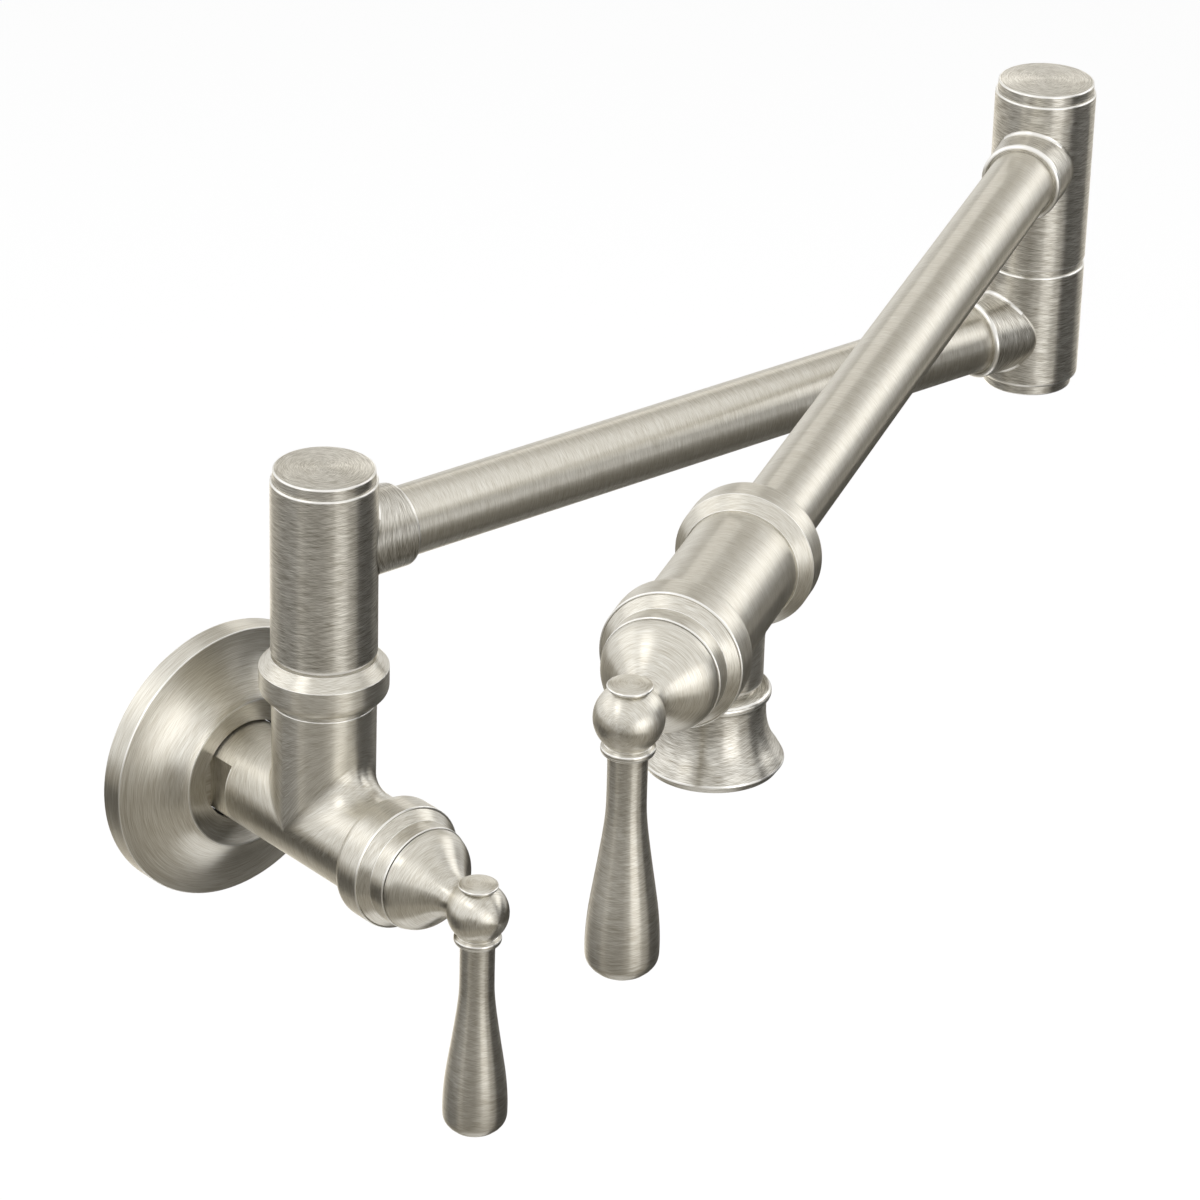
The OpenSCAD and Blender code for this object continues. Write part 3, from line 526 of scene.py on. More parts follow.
# Brush lines: noise scale per metre, coarse round the piece and fine along its outline, then the tilt in
# degrees and the share of the whole
BRUSH_LAYERS = [
    ((210, 210, 5600), 7, 0.46),
    ((270, 270, 8200), -8, 0.40),
    ((120, 120, 1900), 3, 0.14),
]
BRUSH_DETAIL = 2
BRUSH_RANGE = (0.35, 0.65)
BRUSH_ROUGHNESS = (0.31, 0.39)
BRUSH_ANISOTROPY = 0.78
BRUSH_BUMP = 0.3
BRUSH_DEPTH_M = 0.00002
# The pale base colour painted on the marked small rounds as a highlight
EDGE_HIGHLIGHT_COLOUR = (0.95, 0.935, 0.89)
# Plain finishes: their grain, and the shares of the roughness that it varies between
GRAIN_DETAIL = 3
GRAIN_RANGE = (0.3, 0.7)
GRAIN_ROUGHNESS_SHARES = (0.85, 1.15)
GRAIN_BUMP = 0.2
GRAIN_DEPTH_M = 0.00003
# Sockets of the mix node: its two colours, and the mixed one
MIX_FIRST = 6
MIX_SECOND = 7
MIX_RESULT = 2

slot_of = {part["node"]: part["material_slot"] for part in frame["record"]["subparts"]}


def new_material(name):
    material = bpy.data.materials.new(name)
    material.use_nodes = True
    nodes = material.node_tree.nodes
    nodes.clear()
    shader = nodes.new("ShaderNodeBsdfPrincipled")
    output = nodes.new("ShaderNodeOutputMaterial")
    material.node_tree.links.new(shader.outputs[0], output.inputs[0])
    return material, nodes, material.node_tree.links, shader


def scaled_noise(nodes, links, source, scale, detail, tilt=0):
    """Noise of source; tilt turns the pattern first, in degrees."""
    turn = nodes.new("ShaderNodeVectorRotate")
    turn.rotation_type = "EULER_XYZ"
    turn.inputs["Rotation"].default_value = (math.radians(tilt), math.radians(tilt), 0)
    links.new(source, turn.inputs["Vector"])
    mapping = nodes.new("ShaderNodeMapping")
    mapping.inputs["Scale"].default_value = scale
    links.new(turn.outputs[0], mapping.inputs["Vector"])
    noise = nodes.new("ShaderNodeTexNoise")
    noise.inputs["Scale"].default_value = 1.0
    noise.inputs["Detail"].default_value = detail
    links.new(mapping.outputs[0], noise.inputs["Vector"])
    return noise.outputs[0]


def added(nodes, links, first, second):
    math_node = nodes.new("ShaderNodeMath")
    math_node.operation = "ADD"
    links.new(first, math_node.inputs[0])
    links.new(second, math_node.inputs[1])
    return math_node.outputs[0]


def ranged(nodes, links, source, source_range, low, high):
    """Spreads the source's range from low to high."""
    spread = nodes.new("ShaderNodeMapRange")
    spread.inputs["From Min"].default_value = source_range[0]
    spread.inputs["From Max"].default_value = source_range[1]
    spread.inputs["To Min"].default_value = low
    spread.inputs["To Max"].default_value = high
    links.new(source, spread.inputs["Value"])
    return spread.outputs[0]


def colour_mix(nodes, links, source, dark, light):
    mix = nodes.new("ShaderNodeMix")
    mix.data_type = "RGBA"
    mix.inputs[MIX_FIRST].default_value = (*dark, 1)
    mix.inputs[MIX_SECOND].default_value = (*light, 1)
    links.new(source, mix.inputs[0])
    return mix.outputs[MIX_RESULT]


def add_bump(nodes, links, shader, height, strength, depth):
    bump = nodes.new("ShaderNodeBump")
    bump.inputs["Strength"].default_value = strength
    bump.inputs["Distance"].default_value = depth
    links.new(height, bump.inputs["Height"])
    links.new(bump.outputs[0], shader.inputs["Normal"])


def brushed_nickel(name, dark, light):
    """Warm brushed nickel: fine lines round each turned piece, from the brush attribute, with a painted highlight
    on the marked small rounds.
    """
    material, nodes, links, shader = new_material(name)
    attribute = nodes.new("ShaderNodeAttribute")
    attribute.attribute_name = "brush"
    brush = attribute.outputs["Vector"]
    total = None
    for scale, tilt, share in BRUSH_LAYERS:
        noise = scaled_noise(nodes, links, brush, scale, BRUSH_DETAIL, tilt)
        layer = ranged(nodes, links, noise, BRUSH_RANGE, 0, share)
        total = layer if total is None else added(nodes, links, total, layer)
    brushed = colour_mix(nodes, links, total, dark, light)
    # Painted highlight: the marked small rounds take a pale base colour in place of the brushed lines
    edge = nodes.new("ShaderNodeAttribute")
    edge.attribute_name = "edge"
    edge_highlight = colour_mix(nodes, links, edge.outputs["Fac"], dark, EDGE_HIGHLIGHT_COLOUR)
    links.new(brushed, edge_highlight.node.inputs[MIX_FIRST])
    links.new(edge_highlight, shader.inputs["Base Color"])
    links.new(ranged(nodes, links, total, (0, 1), *BRUSH_ROUGHNESS), shader.inputs["Roughness"])
    shader.inputs["Metallic"].default_value = 1.0
    shader.inputs["Anisotropic"].default_value = BRUSH_ANISOTROPY
    tangent = nodes.new("ShaderNodeTangent")
    tangent.direction_type = "UV_MAP"
    tangent.uv_map = "turned"
    links.new(tangent.outputs[0], shader.inputs["Tangent"])
    add_bump(nodes, links, shader, total, BRUSH_BUMP, BRUSH_DEPTH_M)
    return material


def plain(name, dark, light, roughness, metallic, grain):
    """A finish whose colour and roughness vary with a fine grain, given per metre."""
    material, nodes, links, shader = new_material(name)
    place = nodes.new("ShaderNodeTexCoord").outputs["Object"]
    noise = scaled_noise(nodes, links, place, (grain, grain, grain), GRAIN_DETAIL)
    low, high = (roughness * share for share in GRAIN_ROUGHNESS_SHARES)
    links.new(colour_mix(nodes, links, noise, dark, light), shader.inputs["Base Color"])
    links.new(ranged(nodes, links, noise, GRAIN_RANGE, low, high), shader.inputs["Roughness"])
    shader.inputs["Metallic"].default_value = metallic
    add_bump(nodes, links, shader, noise, GRAIN_BUMP, GRAIN_DEPTH_M)
    return material


# The nickel's dark and light lines on the posts, the levers, the valves and the tubes
NICKEL = brushed_nickel("nickel", (0.25, 0.219, 0.165), (0.95, 0.93, 0.865))
LEVER_NICKEL = brushed_nickel("nickel_lever", (0.37, 0.331, 0.26), (0.73, 0.712, 0.652))
SOFT_NICKEL = brushed_nickel("nickel_soft", (0.50, 0.459, 0.375), (0.885, 0.866, 0.80))
FINE_NICKEL = brushed_nickel("nickel_fine", (0.52, 0.48, 0.397), (0.82, 0.798, 0.73))
# The CAD solids' finishes, for the few that show and for the pieces inside: dark and light colour, roughness,
# metalness and grain
SLOT_MATERIALS = {
    "nickel": plain("nickel_inside", (0.62, 0.58, 0.52), (0.72, 0.68, 0.62), 0.35, 1.0, 900),
    "brass": plain("brass", (0.58, 0.42, 0.18), (0.68, 0.51, 0.25), 0.35, 1.0, 900),
    "steel": plain("steel", (0.50, 0.50, 0.51), (0.60, 0.60, 0.61), 0.3, 1.0, 900),
    "rubber": plain("rubber", (0.02, 0.02, 0.02), (0.04, 0.04, 0.04), 0.7, 0.0, 1500),
    "nylon": plain("nylon", (0.76, 0.74, 0.69), (0.84, 0.82, 0.77), 0.5, 0.0, 700),
    "ceramic": plain("ceramic", (0.86, 0.86, 0.83), (0.93, 0.93, 0.90), 0.25, 0.0, 500),
}
for node_name, cad in frame["nodes"].items():
    cad.data.materials.clear()
    cad.data.materials.append(SLOT_MATERIALS[slot_of[node_name]])


# The wall flange

FLANGE_R = 44.2
FLANGE_RIM_H = 7.6
FLANGE_H = 16.3
FLANGE_EDGE = 0.5
FLANGE_EDGE_ROUND = 0.4
FLANGE_BACK_ROUND = 0.3
FLANGE_CREST_R = 24.3
FLANGE_HOLE_R = 16.45
FLANGE_FLOOR = 14.4
FLANGE_WALL = 2.2
FLANGE_STRETCH = 2.4
# The ogee from the rim to the crest, as shares of its width and height
OGEE_SHARES = [(0, 0), (0.14, 0.05), (0.28, 0.12), (0.42, 0.21), (0.54, 0.32), (0.65, 0.45),
    (0.75, 0.6), (0.84, 0.76), (0.91, 0.89), (0.96, 0.96)]
# The crest's points, measured from its radius and height
CREST_OFFSETS = [(0.12, -0.05), (-0.45, -0.03)]
# Degrees of each step of the cove between the crest and the hole
COVE_STEP = 9
# The hollow back follows the ogee: its shift inwards as a share of the wall, and its steps
BACK_SHARE = 0.6
BACK_STEPS = 2


def flange_outline():
    front_r = FLANGE_R - FLANGE_EDGE
    ogee = [(front_r - a * (front_r - FLANGE_CREST_R), FLANGE_RIM_H + b * (FLANGE_H - FLANGE_RIM_H))
        for a, b in OGEE_SHARES]
    crest = [(FLANGE_CREST_R + a, FLANGE_H + b) for a, b in CREST_OFFSETS]
    cove_r = crest[-1][0] - FLANGE_HOLE_R
    cove_h = FLANGE_H - FLANGE_FLOOR
    cove = [(FLANGE_HOLE_R + cove_r * (1 - a / 90), crest[-1][1] - cove_h * math.sin(math.radians(a)))
        for a in range(COVE_STEP, 91, COVE_STEP)]
    inner = [(r - FLANGE_WALL * BACK_SHARE, z - FLANGE_WALL) for r, z in curve(ogee, BACK_STEPS)]
    rim = rounded([(FLANGE_R - FLANGE_WALL, 0), (FLANGE_R, 0, FLANGE_BACK_ROUND),
        (FLANGE_R, FLANGE_RIM_H, FLANGE_EDGE_ROUND), ogee[1]])
    return ring_outline(rim[:-1] + curve(ogee[1:] + crest) + cove
        + [(FLANGE_HOLE_R, FLANGE_FLOOR - FLANGE_WALL)] + inner[::-1])


turned(flange_outline(), WALL, "wall_flange", "wall_body", SOFT_NICKEL, FLANGE_STRETCH)


# The valves

# The tee's columns from its top to a flat's edge, and from there to its side
TEE_TOP_COLUMNS = 20
TEE_SIDE_COLUMNS = 13
TEE_BARREL_ROWS = 9
TEE_FILLET_STEPS = 12
TEE_BOSS_ROWS = 10


def front_rows(r):
    """From the barrel in front of the port, over the raised ring, into the cartridge's bore."""
    ring = rounded([(RING_R, -RING_BACK), (RING_R, -RING_FRONT, RING_EDGE), (BONNET_THREAD_R, -RING_FRONT)])
    return quarter_round(r, RING_R, -RING_BACK) + ring + [(BONNET_THREAD_R, -THREAD_END),
        (CARTRIDGE_R, -THREAD_END), (CARTRIDGE_R, -SEAT), (0, -SEAT)]


def tee_columns():
    """Column angles of the tee, from one side to the other over the top, with one on each flat's edge."""
    edge = math.asin(FLAT_HALF / BODY_R)
    half = np.concatenate([np.linspace(0, edge, TEE_TOP_COLUMNS, endpoint=False),
        np.linspace(edge, math.pi / 2, TEE_SIDE_COLUMNS)])
    return np.concatenate([-half[:0:-1], half])


def tee_half(skin, side, fillet, start):
    """Half of the tee: columns run along the barrel from start, round the fillet and up the boss."""
    angles = tee_columns()
    sine = np.sin(angles)
    cosine = np.cos(angles)
    ball = (BODY_R + fillet) * cosine
    port = -PORT_BACK

    def barrel_row(x):
        return np.stack([BODY_R * cosine, BODY_R * sine, x], -1)

    shares = np.linspace(0, 1, TEE_BARREL_ROWS)
    rows = [barrel_row(start + (port + side * ball - start) * t) for t in shares]
    centre = np.stack([ball, (BODY_R + fillet) * sine, port + side * ball], -1)
    to_barrel = np.stack([-cosine, -sine, 0 * angles], -1)
    to_boss = np.stack([0 * angles, -sine, -side * cosine], -1)
    rows += fillet_rings(centre, to_barrel, to_boss, fillet, TEE_FILLET_STEPS)[1:]

    def boss_row(r, height):
        return np.stack([height, r * sine, port + side * r * cosine], -1)

    shoulder = BOSS_TOP - BOSS_SHOULDER
    for t in np.linspace(0, 1, TEE_BOSS_ROWS)[1:]:
        height = ball + (shoulder - ball) * t
        rows.append(boss_row(BODY_R + (BOSS_R - BODY_R) * t, height))
    top = rounded([(BOSS_R, shoulder), (BOSS_R, BOSS_TOP, BOSS_TOP_ROUND), (BOSS_THREAD_R, BOSS_TOP)])
    for r, z in top[1:] + [(BOSS_THREAD_R, BOSS_TOP - BOSS_THREAD_L), (0, BOSS_TOP - BOSS_THREAD_L)]:
        rows.append(boss_row(r, z + 0 * angles))
    rows = np.array(rows)
    steps = np.linalg.norm(np.diff(rows, axis=0), axis=2).mean(1)
    lengths = np.concatenate([[0], np.cumsum(steps)])
    skin.patch(rows, side * angles[None], side * lengths[:, None], BODY_R)


def tee():
    skin = Skin()
    upper = tee_columns()
    lower = upper[1:-1] + math.pi
    around = np.concatenate([upper, lower])
    front = front_rows(BODY_R)
    flat_front = -WALL_END + FLAT_FRONT
    flat_rear = -WALL_END + FLAT_REAR
    inlet_top = -WALL_END + INLET_L
    start_front = front[0][1]
    start_rear = flat_front + FLAT_LEAD
    skin.turn(front, around)
    tee_half(skin, 1, TEE_FRONT_FILLET, start_front)
    tee_half(skin, -1, TEE_REAR_FILLET, start_rear)

    below = np.concatenate([upper[-1:], lower, upper[:1] + 2 * math.pi])
    along = np.concatenate([np.linspace(start_front, -PORT_BACK, TEE_BARREL_ROWS),
        np.linspace(-PORT_BACK, start_rear, TEE_BARREL_ROWS)[1:]])
    belly = np.stack(np.broadcast_arrays(BODY_R * np.cos(below)[None], BODY_R * np.sin(below)[None],
        along[:, None]), -1)
    skin.patch(belly, below[None], -along[:, None], BODY_R)

    # Rows (r, z, flat) from the tee to the wall and into the inlet; flat ones are cut at the two flats
    rear = [(BODY_R, start_rear, 0), (BODY_R, flat_front, 0), (BODY_R, flat_front, 1),
        (BODY_R, flat_rear, 1), (BODY_R, flat_rear, 0), (BODY_R - WALL_END_TAPER, -WALL_END, 0),
        (INLET_R, -WALL_END, 0), (INLET_R, inlet_top, 0), (0, inlet_top, 0)]
    rows = []
    for r, z, flat in rear:
        y = r * np.sin(around)
        if flat:
            y = np.clip(y, -FLAT_HALF, FLAT_HALF)
        rows.append(np.stack([r * np.cos(around), y, z + 0 * around], -1))
    steps = np.linalg.norm(np.diff([(r, z) for r, z, _ in rear], axis=0), axis=1)
    lengths = np.concatenate([[0], np.cumsum(steps)]) - start_rear
    skin.patch(rows, around[None], lengths[:, None], BODY_R, around=True)
    return skin


def bonnet_outline():
    return ring_outline(rounded([(BONNET_BORE_R, -THREAD_END), (BONNET_THREAD_R, -THREAD_END),
        (BONNET_THREAD_R, -RING_FRONT), (RING_R - BONNET_STEP, -RING_FRONT, BONNET_STEP_ROUND),
        (BONNET_R, -CONE_END, BONNET_NECK_ROUND), (BONNET_R, -COLLAR_END, BONNET_EDGE),
        (BONNET_BORE_R, -COLLAR_END, BONNET_BORE_ROUND), (BONNET_BORE_R, -THREAD_END)])[:-1])


def outlet_body():
    skin = Skin()
    thread_end = SPOUT_BOSS_L - BELL_THREAD_L
    before = rounded([(0, -TUBE_END), (BONNET_THREAD_R, -TUBE_END), (BONNET_THREAD_R, -OUTLET_END),
        (OUTLET_R, -OUTLET_END, OUTLET_EDGE), (OUTLET_R, -OUTLET_END + OVER)])
    boss = rounded([(SPOUT_BOSS_R, SPOUT_BOSS_L - OVER), (SPOUT_BOSS_R, SPOUT_BOSS_L, SPOUT_BOSS_ROUND),
        (BELL_THREAD_R, SPOUT_BOSS_L), (BELL_THREAD_R, thread_end), (0, thread_end)])
    branched(skin, before[:-1], front_rows(OUTLET_R), OUTLET_R, -PORT_BACK, SPOUT_BLOCK, SPOUT_BOSS_R,
        SPOUT_FILLET, boss[1:])
    return skin


piece(tee(), WALL_VALVE, "wall_valve_body", "wall_body", SOFT_NICKEL)
piece(outlet_body(), OUTLET_VALVE, "outlet_valve_body", "arm_2", FINE_NICKEL)
turned(bonnet_outline(), WALL_VALVE, "wall_bonnet_nut", "wall_body", SOFT_NICKEL)
turned(bonnet_outline(), OUTLET_VALVE, "outlet_bonnet_nut", "arm_2", SOFT_NICKEL)


# The handles

# The hub's dome and neck, each by its curve's four control points
HUB_DOME = [(HUB_R, -24.05), (15.4, -19.6), (10.0, -17.0), (6.9, -12.6)]
HUB_NECK = [(6.9, -12.6), (5.9, -11.2), (5.3, -10.0), (5.3, -8.6)]
DOME_STEPS = 24
NECK_STEPS = 8
# Points measured from where the neck meets the ball, and the degrees from there to the start of its arc
THROAT_OFFSETS = [(0, -0.55), (0.12, -0.12)]
THROAT_ANGLE = 4
BALL_STEPS = 28
BALL_SEAT_R = BALL_R + BALL_SEAT_GAP
LEVER_SEAT_STEPS = 8
FINIAL_SEAT_STEPS = 6
HUB_STRETCH = 1.6
LEVER_BEAD = [(5.95, -7.1), (6.6, -7.6), (7.05, -8.1), (7.15, -8.65), (7.05, -9.25), (6.6, -9.9),
    (5.85, -10.25)]
LEVER_BLADE = [(5.35, -10.6), (5.22, -13), (5.2, -18), (5.2, -22), (5.3, -27), (5.75, -32), (6.4, -37),
    (7.25, -43), (8.15, -49), (9.0, -55), (9.5, -60), (9.72, -64), (9.75, -67), (9.65, -69.3), (9.2, -70.8),
    (8.3, -72.1)]
LEVER_TIP = [LEVER_BLADE[-1], (6.95, -73.35, 0.35), (5.2, -74.45, 0.5), (0, -74.7)]
FINIAL = [(4.7, 8.0), (4.78, 8.15), (5.5, 8.35), (5.88, 8.65), (5.98, 8.95), (5.86, 9.25), (5.3, 9.55),
    (4.2, 9.78), (2.4, 9.88), (0, 9.9)]


def hub_outline():
    neck_r = HUB_NECK[-1][0]
    junction = math.sqrt(BALL_R ** 2 - neck_r ** 2)
    start = math.degrees(math.atan2(-junction, neck_r))
    throat = [(neck_r + a, -junction + b) for a, b in THROAT_OFFSETS]
    ball = arc(BALL_R, start + THROAT_ANGLE, 90, BALL_STEPS)
    ball[-1] = (0, BALL_R)
    back = rounded([(0, -STEM_TIP), (STEM_BORE_R, -STEM_TIP), (STEM_BORE_R, -CONE_END),
        (HUB_BOSS_R, -CONE_END), (HUB_BOSS_R, -HUB_L), (HUB_R, -HUB_L, HUB_EDGE), HUB_DOME[0]])
    return back[:-1] + bezier(HUB_DOME, DOME_STEPS) + bezier(HUB_NECK, NECK_STEPS)[1:-1] + throat + ball


def lever_outline():
    seat = math.degrees(math.acos(LEVER_BEAD[0][0] / BALL_SEAT_R))
    dish = arc(BALL_SEAT_R, -90, -seat, LEVER_SEAT_STEPS)
    dish[0] = (0, -BALL_SEAT_R)
    return dish + curve(LEVER_BEAD)[1:] + curve(LEVER_BLADE) + rounded(LEVER_TIP)[1:]


def finial_outline():
    seat = math.degrees(math.acos(FINIAL[0][0] / BALL_SEAT_R))
    dish = arc(BALL_SEAT_R, 90, seat, FINIAL_SEAT_STEPS)
    dish[0] = (0, BALL_SEAT_R)
    body = curve(FINIAL)
    body[-1] = (0, FINIAL[-1][1])
    return dish[:-1] + body


for valve, handle, prefix in ((WALL_VALVE, WALL_HANDLE, "wall"), (OUTLET_VALVE, OUTLET_HANDLE, "outlet")):
    rider = prefix + "_handle"
    turned(hub_outline(), valve, prefix + "_handle_hub", rider, SOFT_NICKEL, HUB_STRETCH)
    turned(lever_outline(), handle, prefix + "_lever", rider, LEVER_NICKEL)
    turned(finial_outline(), handle, prefix + "_finial", rider, SOFT_NICKEL)


# Swivel joints

def collar_outline():
    shoulder = COLLAR_R - COLLAR_NECK_R
    band = BOSS_TOP + COLLAR_NECK_H + shoulder
    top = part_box("swivel_collar")[1].z / MM
    return ring_outline([(PIVOT_BORE_R, BOSS_TOP), (COLLAR_NECK_R, BOSS_TOP)]
        + quarter_round(COLLAR_NECK_R, COLLAR_R, band)
        + rounded([(COLLAR_R, band), (COLLAR_R, top - NUT_CONE_H, NUT_EDGE), (POST_R, top, SMALL_ROUND),
            (PIVOT_BORE_R, top)])[1:])


def washer_outline(thickness, r):
    return ring_outline(rounded([(PIVOT_BORE_R, -thickness), (r, -thickness, SMALL_ROUND),
        (r, 0, SMALL_ROUND), (PIVOT_BORE_R, 0)]))


def arm_end():
    """A boss's outline from its straight part to the bottom of its socket."""
    socket_r = TUBE_R + FIT_GAP
    return rounded([(ARM_BOSS_R, ARM_BOSS_L - OVER), (ARM_BOSS_R, ARM_BOSS_L, ARM_BOSS_ROUND),
        (socket_r, ARM_BOSS_L, SMALL_ROUND), (socket_r, TUBE_SEAT), (0, TUBE_SEAT)])[1:]


def sleeve():
    skin = Skin()
    well_floor = SLEEVE_H - WELL_DEPTH
    before = rounded([(PIVOT_BORE_R, ARM_UP), (PIVOT_BORE_R, 0), (POST_R, 0, SLEEVE_FOOT_ROUND),
        (POST_R, OVER)])
    after = rounded([(POST_R, SLEEVE_H - OVER), (POST_R, SLEEVE_H, POST_TOP_ROUND), (WELL_R, SLEEVE_H),
        (WELL_R, well_floor), (PIVOT_BORE_R, well_floor), (PIVOT_BORE_R, ARM_UP)])
    branched(skin, before[:-1], after[1:], POST_R, ARM_UP, SLEEVE_BLOCK, ARM_BOSS_R, ARM_FILLET, arm_end())
    return skin


def housing():
    """The elbow's housing; heights are measured from the first arm's axis."""
    skin = Skin()
    bore_end = HOUSING_UP - HOUSING_BORE_L
    thread_end = HOUSING_UP - HOUSING_THREAD_L
    before = rounded([(0, bore_end), (PIVOT_BORE_R, bore_end), (PIVOT_BORE_R, -HOUSING_DOWN),
        (POST_R, -HOUSING_DOWN, HOUSING_FOOT_ROUND), (POST_R, -HOUSING_DOWN + OVER)])
    after = rounded([(POST_R, HOUSING_UP - OVER), (POST_R, HOUSING_UP, POST_TOP_ROUND),
        (BOSS_THREAD_R, HOUSING_UP), (BOSS_THREAD_R, thread_end), (0, thread_end)])
    branched(skin, before[:-1], after[1:], POST_R, 0, HOUSING_BLOCK, ARM_BOSS_R, ARM_FILLET, arm_end())
    return skin


def cap_outline(r, spigot_r):
    inner_r = spigot_r - CAP_SPIGOT_WALL
    outer_r = spigot_r - FIT_GAP
    side = rounded([(0, 0), (inner_r, 0), (inner_r, -CAP_SPIGOT_H), (outer_r, -CAP_SPIGOT_H), (outer_r, 0),
        (r, 0, CAP_FOOT_ROUND), (r, CAP_T - CAP_DOME, CAP_ROUND),
        (r - CAP_LEAD, CAP_T - CAP_DOME * CAP_LEAD_SHARE)])
    return side[:-1] + [(r * t, CAP_T - CAP_DOME * t * t) for t in CAP_DOME_SHARES]


def tube_outline(start, end):
    inner = TUBE_R - TUBE_WALL
    rows = [(TUBE_R, z) for z in np.linspace(start, end, TUBE_ROWS)]
    return ring_outline([(inner, start)] + rows + [(inner, end)])


turned(collar_outline(), POST, "swivel_collar", "wall_body", SOFT_NICKEL)
turned(washer_outline(POST_WASHER_T, POST_WASHER_R), POST_SLEEVE, "post_thrust_washer", "wall_body",
    SLOT_MATERIALS["nylon"])
turned(washer_outline(ELBOW_WASHER_T, ELBOW_WASHER_R), ELBOW_SLEEVE, "elbow_thrust_washer", "arm_1", NICKEL)
piece(sleeve(), POST_SLEEVE, "post_sleeve", "arm_1", NICKEL)
piece(sleeve(), ELBOW_SLEEVE, "elbow_sleeve", "arm_2", NICKEL)
piece(housing(), HOUSING, "elbow_housing", "arm_1", NICKEL)
SLEEVE_TOP = Matrix.Translation((0, 0, SLEEVE_H * MM))
HOUSING_FOOT = Matrix.Translation((0, 0, -HOUSING_DOWN * MM)) @ Matrix.Rotation(math.pi, 4, "X")
turned(cap_outline(CAP_R, WELL_R), POST_SLEEVE @ SLEEVE_TOP, "post_cap", "arm_1", NICKEL)
turned(cap_outline(CAP_R, WELL_R), ELBOW_SLEEVE @ SLEEVE_TOP, "elbow_cap", "arm_2", NICKEL)
turned(cap_outline(BOTTOM_CAP_R, PIVOT_BORE_R + CAP_SPIGOT_WALL), HOUSING @ HOUSING_FOOT, "elbow_bottom_cap",
    "arm_1", NICKEL)
turned(tube_outline(TUBE_SEAT, arm_1_l - TUBE_SEAT), ARM_1, "arm_1_tube", "arm_1", FINE_NICKEL)
turned(tube_outline(TUBE_SEAT, spout_reach + PORT_BACK - TUBE_END), ARM_2, "arm_2_tube", "arm_2",
    FINE_NICKEL)


# The outlet's coupling and bell

BELL_END = -24.95
BELL_CAVITY_R = 13.0
BELL_CAVITY_TOP = -15.25
BELL_PORT_R = 6.0
BELL_COVE_R = 11.6
BELL_BEAD = [(12.9, -1.0), (14.0, -1.15), (14.85, -1.55), (15.3, -2.15), (15.4, -2.75), (15.3, -3.4),
    (14.85, -3.95), (14.25, -4.3)]
BELL_FLARE = [(14.1, -4.7), (14.1, -6.5), (14.14, -8.7), (14.36, -10.9), (14.63, -12.4), (15.0, -13.9),
    (15.5, -15.4), (16.2, -17.0), (17.1, -18.5), (18.1, -20.0), (18.95, -21.5), (19.45, -22.4)]
BELL_RIM = [BELL_FLARE[-1], (19.55, -22.75, 0.15), (18.1, BELL_END, 0.3), (BELL_CAVITY_R, BELL_END, 0.2),
    (BELL_CAVITY_R, BELL_CAVITY_TOP), (BELL_PORT_R, BELL_CAVITY_TOP)]


def coupling_outline():
    back = -OUTLET_END - COUPLING_L + RING_R - OUTLET_R
    return ring_outline(quarter_round(OUTLET_R, RING_R, back)
        + rounded([(RING_R, back), (RING_R, -OUTLET_END - NUT_CONE_H, NUT_EDGE),
            (BONNET_R, -OUTLET_END, COUPLING_END_ROUND), (BONNET_THREAD_R, -OUTLET_END)])[1:]
        + [(BONNET_THREAD_R, -TUBE_END), (TUBE_R + FIT_GAP, -TUBE_END),
            (TUBE_R + FIT_GAP, -OUTLET_END - COUPLING_L)])


def bell_outline():
    thread_r = BELL_THREAD_R - FIT_GAP
    return ring_outline([(BELL_PORT_R, BELL_THREAD_L), (thread_r, BELL_THREAD_L), (thread_r, 0),
        (BELL_COVE_R, 0), (BELL_COVE_R, BELL_BEAD[0][1])]
        + curve(BELL_BEAD) + curve(BELL_FLARE) + rounded(BELL_RIM)[1:])


turned(coupling_outline(), OUTLET_VALVE, "outlet_coupling_nut", "arm_2", FINE_NICKEL)
turned(bell_outline(), BELL, "spout_bell", "arm_2", NICKEL)


# Studio

# Lengths are in metres here, and a grey or level of 1 is white. The camera sees a wide pale floor. Only the
# metal sees what lies on it: a warm grey table, a dark sheet beside the object, and a pale sheet under it
FLOOR_Z = -1.0
# The table and the two sheets lie this far above each other
LAYER_UP = 0.005
FLOOR_HALF = 30.0
FLOOR_COLOUR = (0.96, 0.96, 0.96)
TABLE_HALF = 6.0
TABLE_GREY = 0.33
DARK_SHEET_AT = (0.95, -0.2)
DARK_SHEET_HALF = 0.6
DARK_SHEET_GREY = 0.06
SHEET_HALF = 0.3
SHEET_COLOUR = (0.95, 0.95, 0.95)
WARM_SHARES = (1.06, 1.0, 0.88)
MATT_ROUGHNESS = 0.9
LEVEL_SPECULAR = 0.0
CARD_SPECULAR = 0.5
WORLD_LEVEL = 1.0
# The lamps aim at the middle of the object, and the cards stand round it
CENTRE = (0.08, -0.1, 0.02)
# Soft boxes: place, width and height, and the level of the lit face
SOFT_BOXES = {
    "front_box": ((-0.1, -1.5, 0.0), (0.7, 0.9), 1.4),
    "right_box": ((1.59, -0.71, 0.78), (1.5, 0.65), 1.0),
    "left_box": ((-0.9, 0.9, 0.9), (1.2, 0.8), 0.5),
    "cap_box": ((2.01, 1.99, 1.31), (0.9, 0.34), 2.5),
    "key_box": ((-1.24, -0.1, 1.27), (0.6, 0.45), 2.4),
}
# The spot over the table behind the object; its power is in watts and its angle in degrees
SPOT_AT = (1.55, 1.55, 0.6)
SPOT_POWER = 600
SPOT_ANGLE = 100
SPOT_BLEND = 0.4
SPOT_SIZE = 0.2
CARD_FOLDS = 6
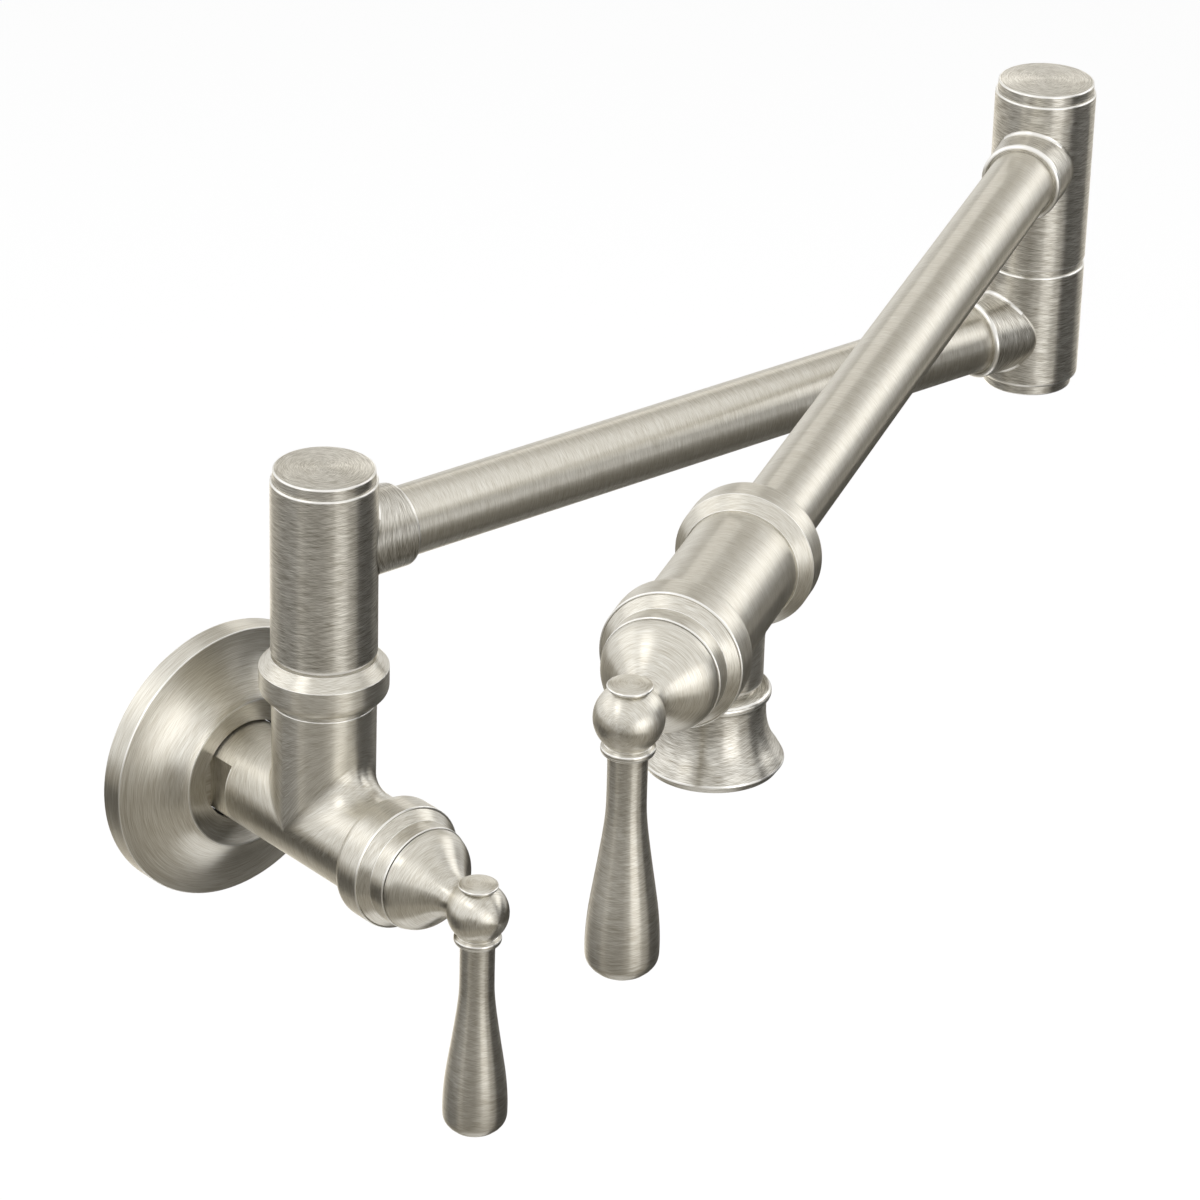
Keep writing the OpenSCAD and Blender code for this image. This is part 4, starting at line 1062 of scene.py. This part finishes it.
# Cards: distance from the centre, first and last compass angle, lowest and highest point, and grey
CARDS = {
    "right_low": (1.0, 43, 148, -1.0, -0.3, 0.03),
    "right_high": (1.0, 100, 150, -0.3, 0.25, 0.03),
    "front_right": (1.0, 134, 150, 0.25, 0.7, 0.03),
    "left_low": (1.0, 280, 330, -1.0, -0.3, 0.03),
    "camera_side": (1.2, 218, 264, -1.0, 0.05, 0.2),
    "back_high": (3.2, 15, 75, 0.8, 3.6, 0.4),
}


def warm_grey(level):
    return tuple(level * share for share in WARM_SHARES)


def matt_piece(name, points, faces, colour, specular, in_metal_only):
    """A matt piece of the studio; in_metal_only leaves it out of the picture and off the floor's light."""
    mesh = bpy.data.meshes.new(name)
    mesh.from_pydata(points, [], faces)
    shown = bpy.data.objects.new(name, mesh)
    bpy.context.scene.collection.objects.link(shown)
    material, _, _, shader = new_material(name)
    shader.inputs["Base Color"].default_value = (*colour, 1)
    shader.inputs["Roughness"].default_value = MATT_ROUGHNESS
    shader.inputs["Specular IOR Level"].default_value = specular
    mesh.materials.append(material)
    if in_metal_only:
        shown.visible_camera = False
        shown.visible_diffuse = False
        shown.visible_shadow = False
    return shown


def level_square(name, middle, half, layer, colour):
    """A level square; all but the floor, which is layer 0, show only in the metal."""
    x, y = middle
    z = FLOOR_Z + layer * LAYER_UP
    points = [(x - half, y - half, z), (x + half, y - half, z), (x + half, y + half, z),
        (x - half, y + half, z)]
    return matt_piece(name, points, [(0, 1, 2, 3)], colour, LEVEL_SPECULAR, layer > 0)


def card(name, radius, start, end, low, high, grey):
    """An upright card round the object between two compass angles; it shows only in the metal."""
    angles = [math.radians(start + (end - start) * k / CARD_FOLDS) for k in range(CARD_FOLDS + 1)]
    foot = [(CENTRE[0] + radius * math.sin(a), CENTRE[1] + radius * math.cos(a)) for a in angles]
    points = [(x, y, low) for x, y in foot] + [(x, y, high) for x, y in foot]
    faces = [(k, k + 1, k + CARD_FOLDS + 2, k + CARD_FOLDS + 1) for k in range(CARD_FOLDS)]
    matt_piece(name, points, faces, warm_grey(grey), CARD_SPECULAR, True)


def soft_box(name, at, size, level):
    """A rectangular lamp whose face shows at this level; the camera doesn't see it."""
    light = bpy.data.lights.new(name, "AREA")
    light.shape = "RECTANGLE"
    light.size, light.size_y = size
    light.energy = level * math.pi * size[0] * size[1]
    lamp = bpy.data.objects.new(name, light)
    bpy.context.scene.collection.objects.link(lamp)
    lamp.location = at
    lamp.visible_camera = False
    lamp.rotation_euler = (Vector(CENTRE) - Vector(at)).to_track_quat("-Z", "Y").to_euler()


def table_spot(table):
    """Lights the table behind the object, and nothing else."""
    light = bpy.data.lights.new("background", "SPOT")
    light.energy = SPOT_POWER
    light.spot_size = math.radians(SPOT_ANGLE)
    light.spot_blend = SPOT_BLEND
    light.shadow_soft_size = SPOT_SIZE
    lamp = bpy.data.objects.new("background", light)
    bpy.context.scene.collection.objects.link(lamp)
    lamp.location = SPOT_AT
    lit = bpy.data.collections.new("lit_by_spot")
    lit.objects.link(table)
    lamp.light_linking.receiver_collection = lit


def studio_world():
    world = bpy.data.worlds.new("studio")
    bpy.context.scene.world = world
    world.use_nodes = True
    background = world.node_tree.nodes["Background"]
    background.inputs["Color"].default_value = (1, 1, 1, 1)
    background.inputs["Strength"].default_value = WORLD_LEVEL


def photo_camera():
    a, e, roll = (math.radians(v) for v in (CAMERA_AZIMUTH, CAMERA_ELEVATION, CAMERA_ROLL))
    forward = Vector((math.sin(a) * math.cos(e), math.cos(a) * math.cos(e), -math.sin(e)))
    level = Vector((math.cos(a), -math.sin(a), 0))
    right = math.cos(roll) * level + math.sin(roll) * level.cross(forward)
    matrix = Matrix((right, right.cross(forward), -forward)).transposed().to_4x4()
    matrix.translation = Vector(CAMERA_AT) * MM
    data = bpy.data.cameras.new("camera")
    data.lens = CAMERA_LENS
    data.sensor_width = CAMERA_SENSOR
    data.clip_end = CAMERA_REACH_M
    camera = bpy.data.objects.new("camera", data)
    bpy.context.scene.collection.objects.link(camera)
    camera.matrix_world = matrix
    bpy.context.scene.camera = camera


level_square("floor", (0, 0), FLOOR_HALF, 0, FLOOR_COLOUR)
table = level_square("table", (0, 0), TABLE_HALF, 1, warm_grey(TABLE_GREY))
level_square("dark_sheet", DARK_SHEET_AT, DARK_SHEET_HALF, 2, warm_grey(DARK_SHEET_GREY))
level_square("sheet", CENTRE[:2], SHEET_HALF, 3, SHEET_COLOUR)
studio_world()
for box_name, box_place in SOFT_BOXES.items():
    soft_box(box_name, *box_place)
table_spot(table)
for card_name, card_place in CARDS.items():
    card(card_name, *card_place)
photo_camera()
bpy.context.scene.view_settings.view_transform = "Standard"
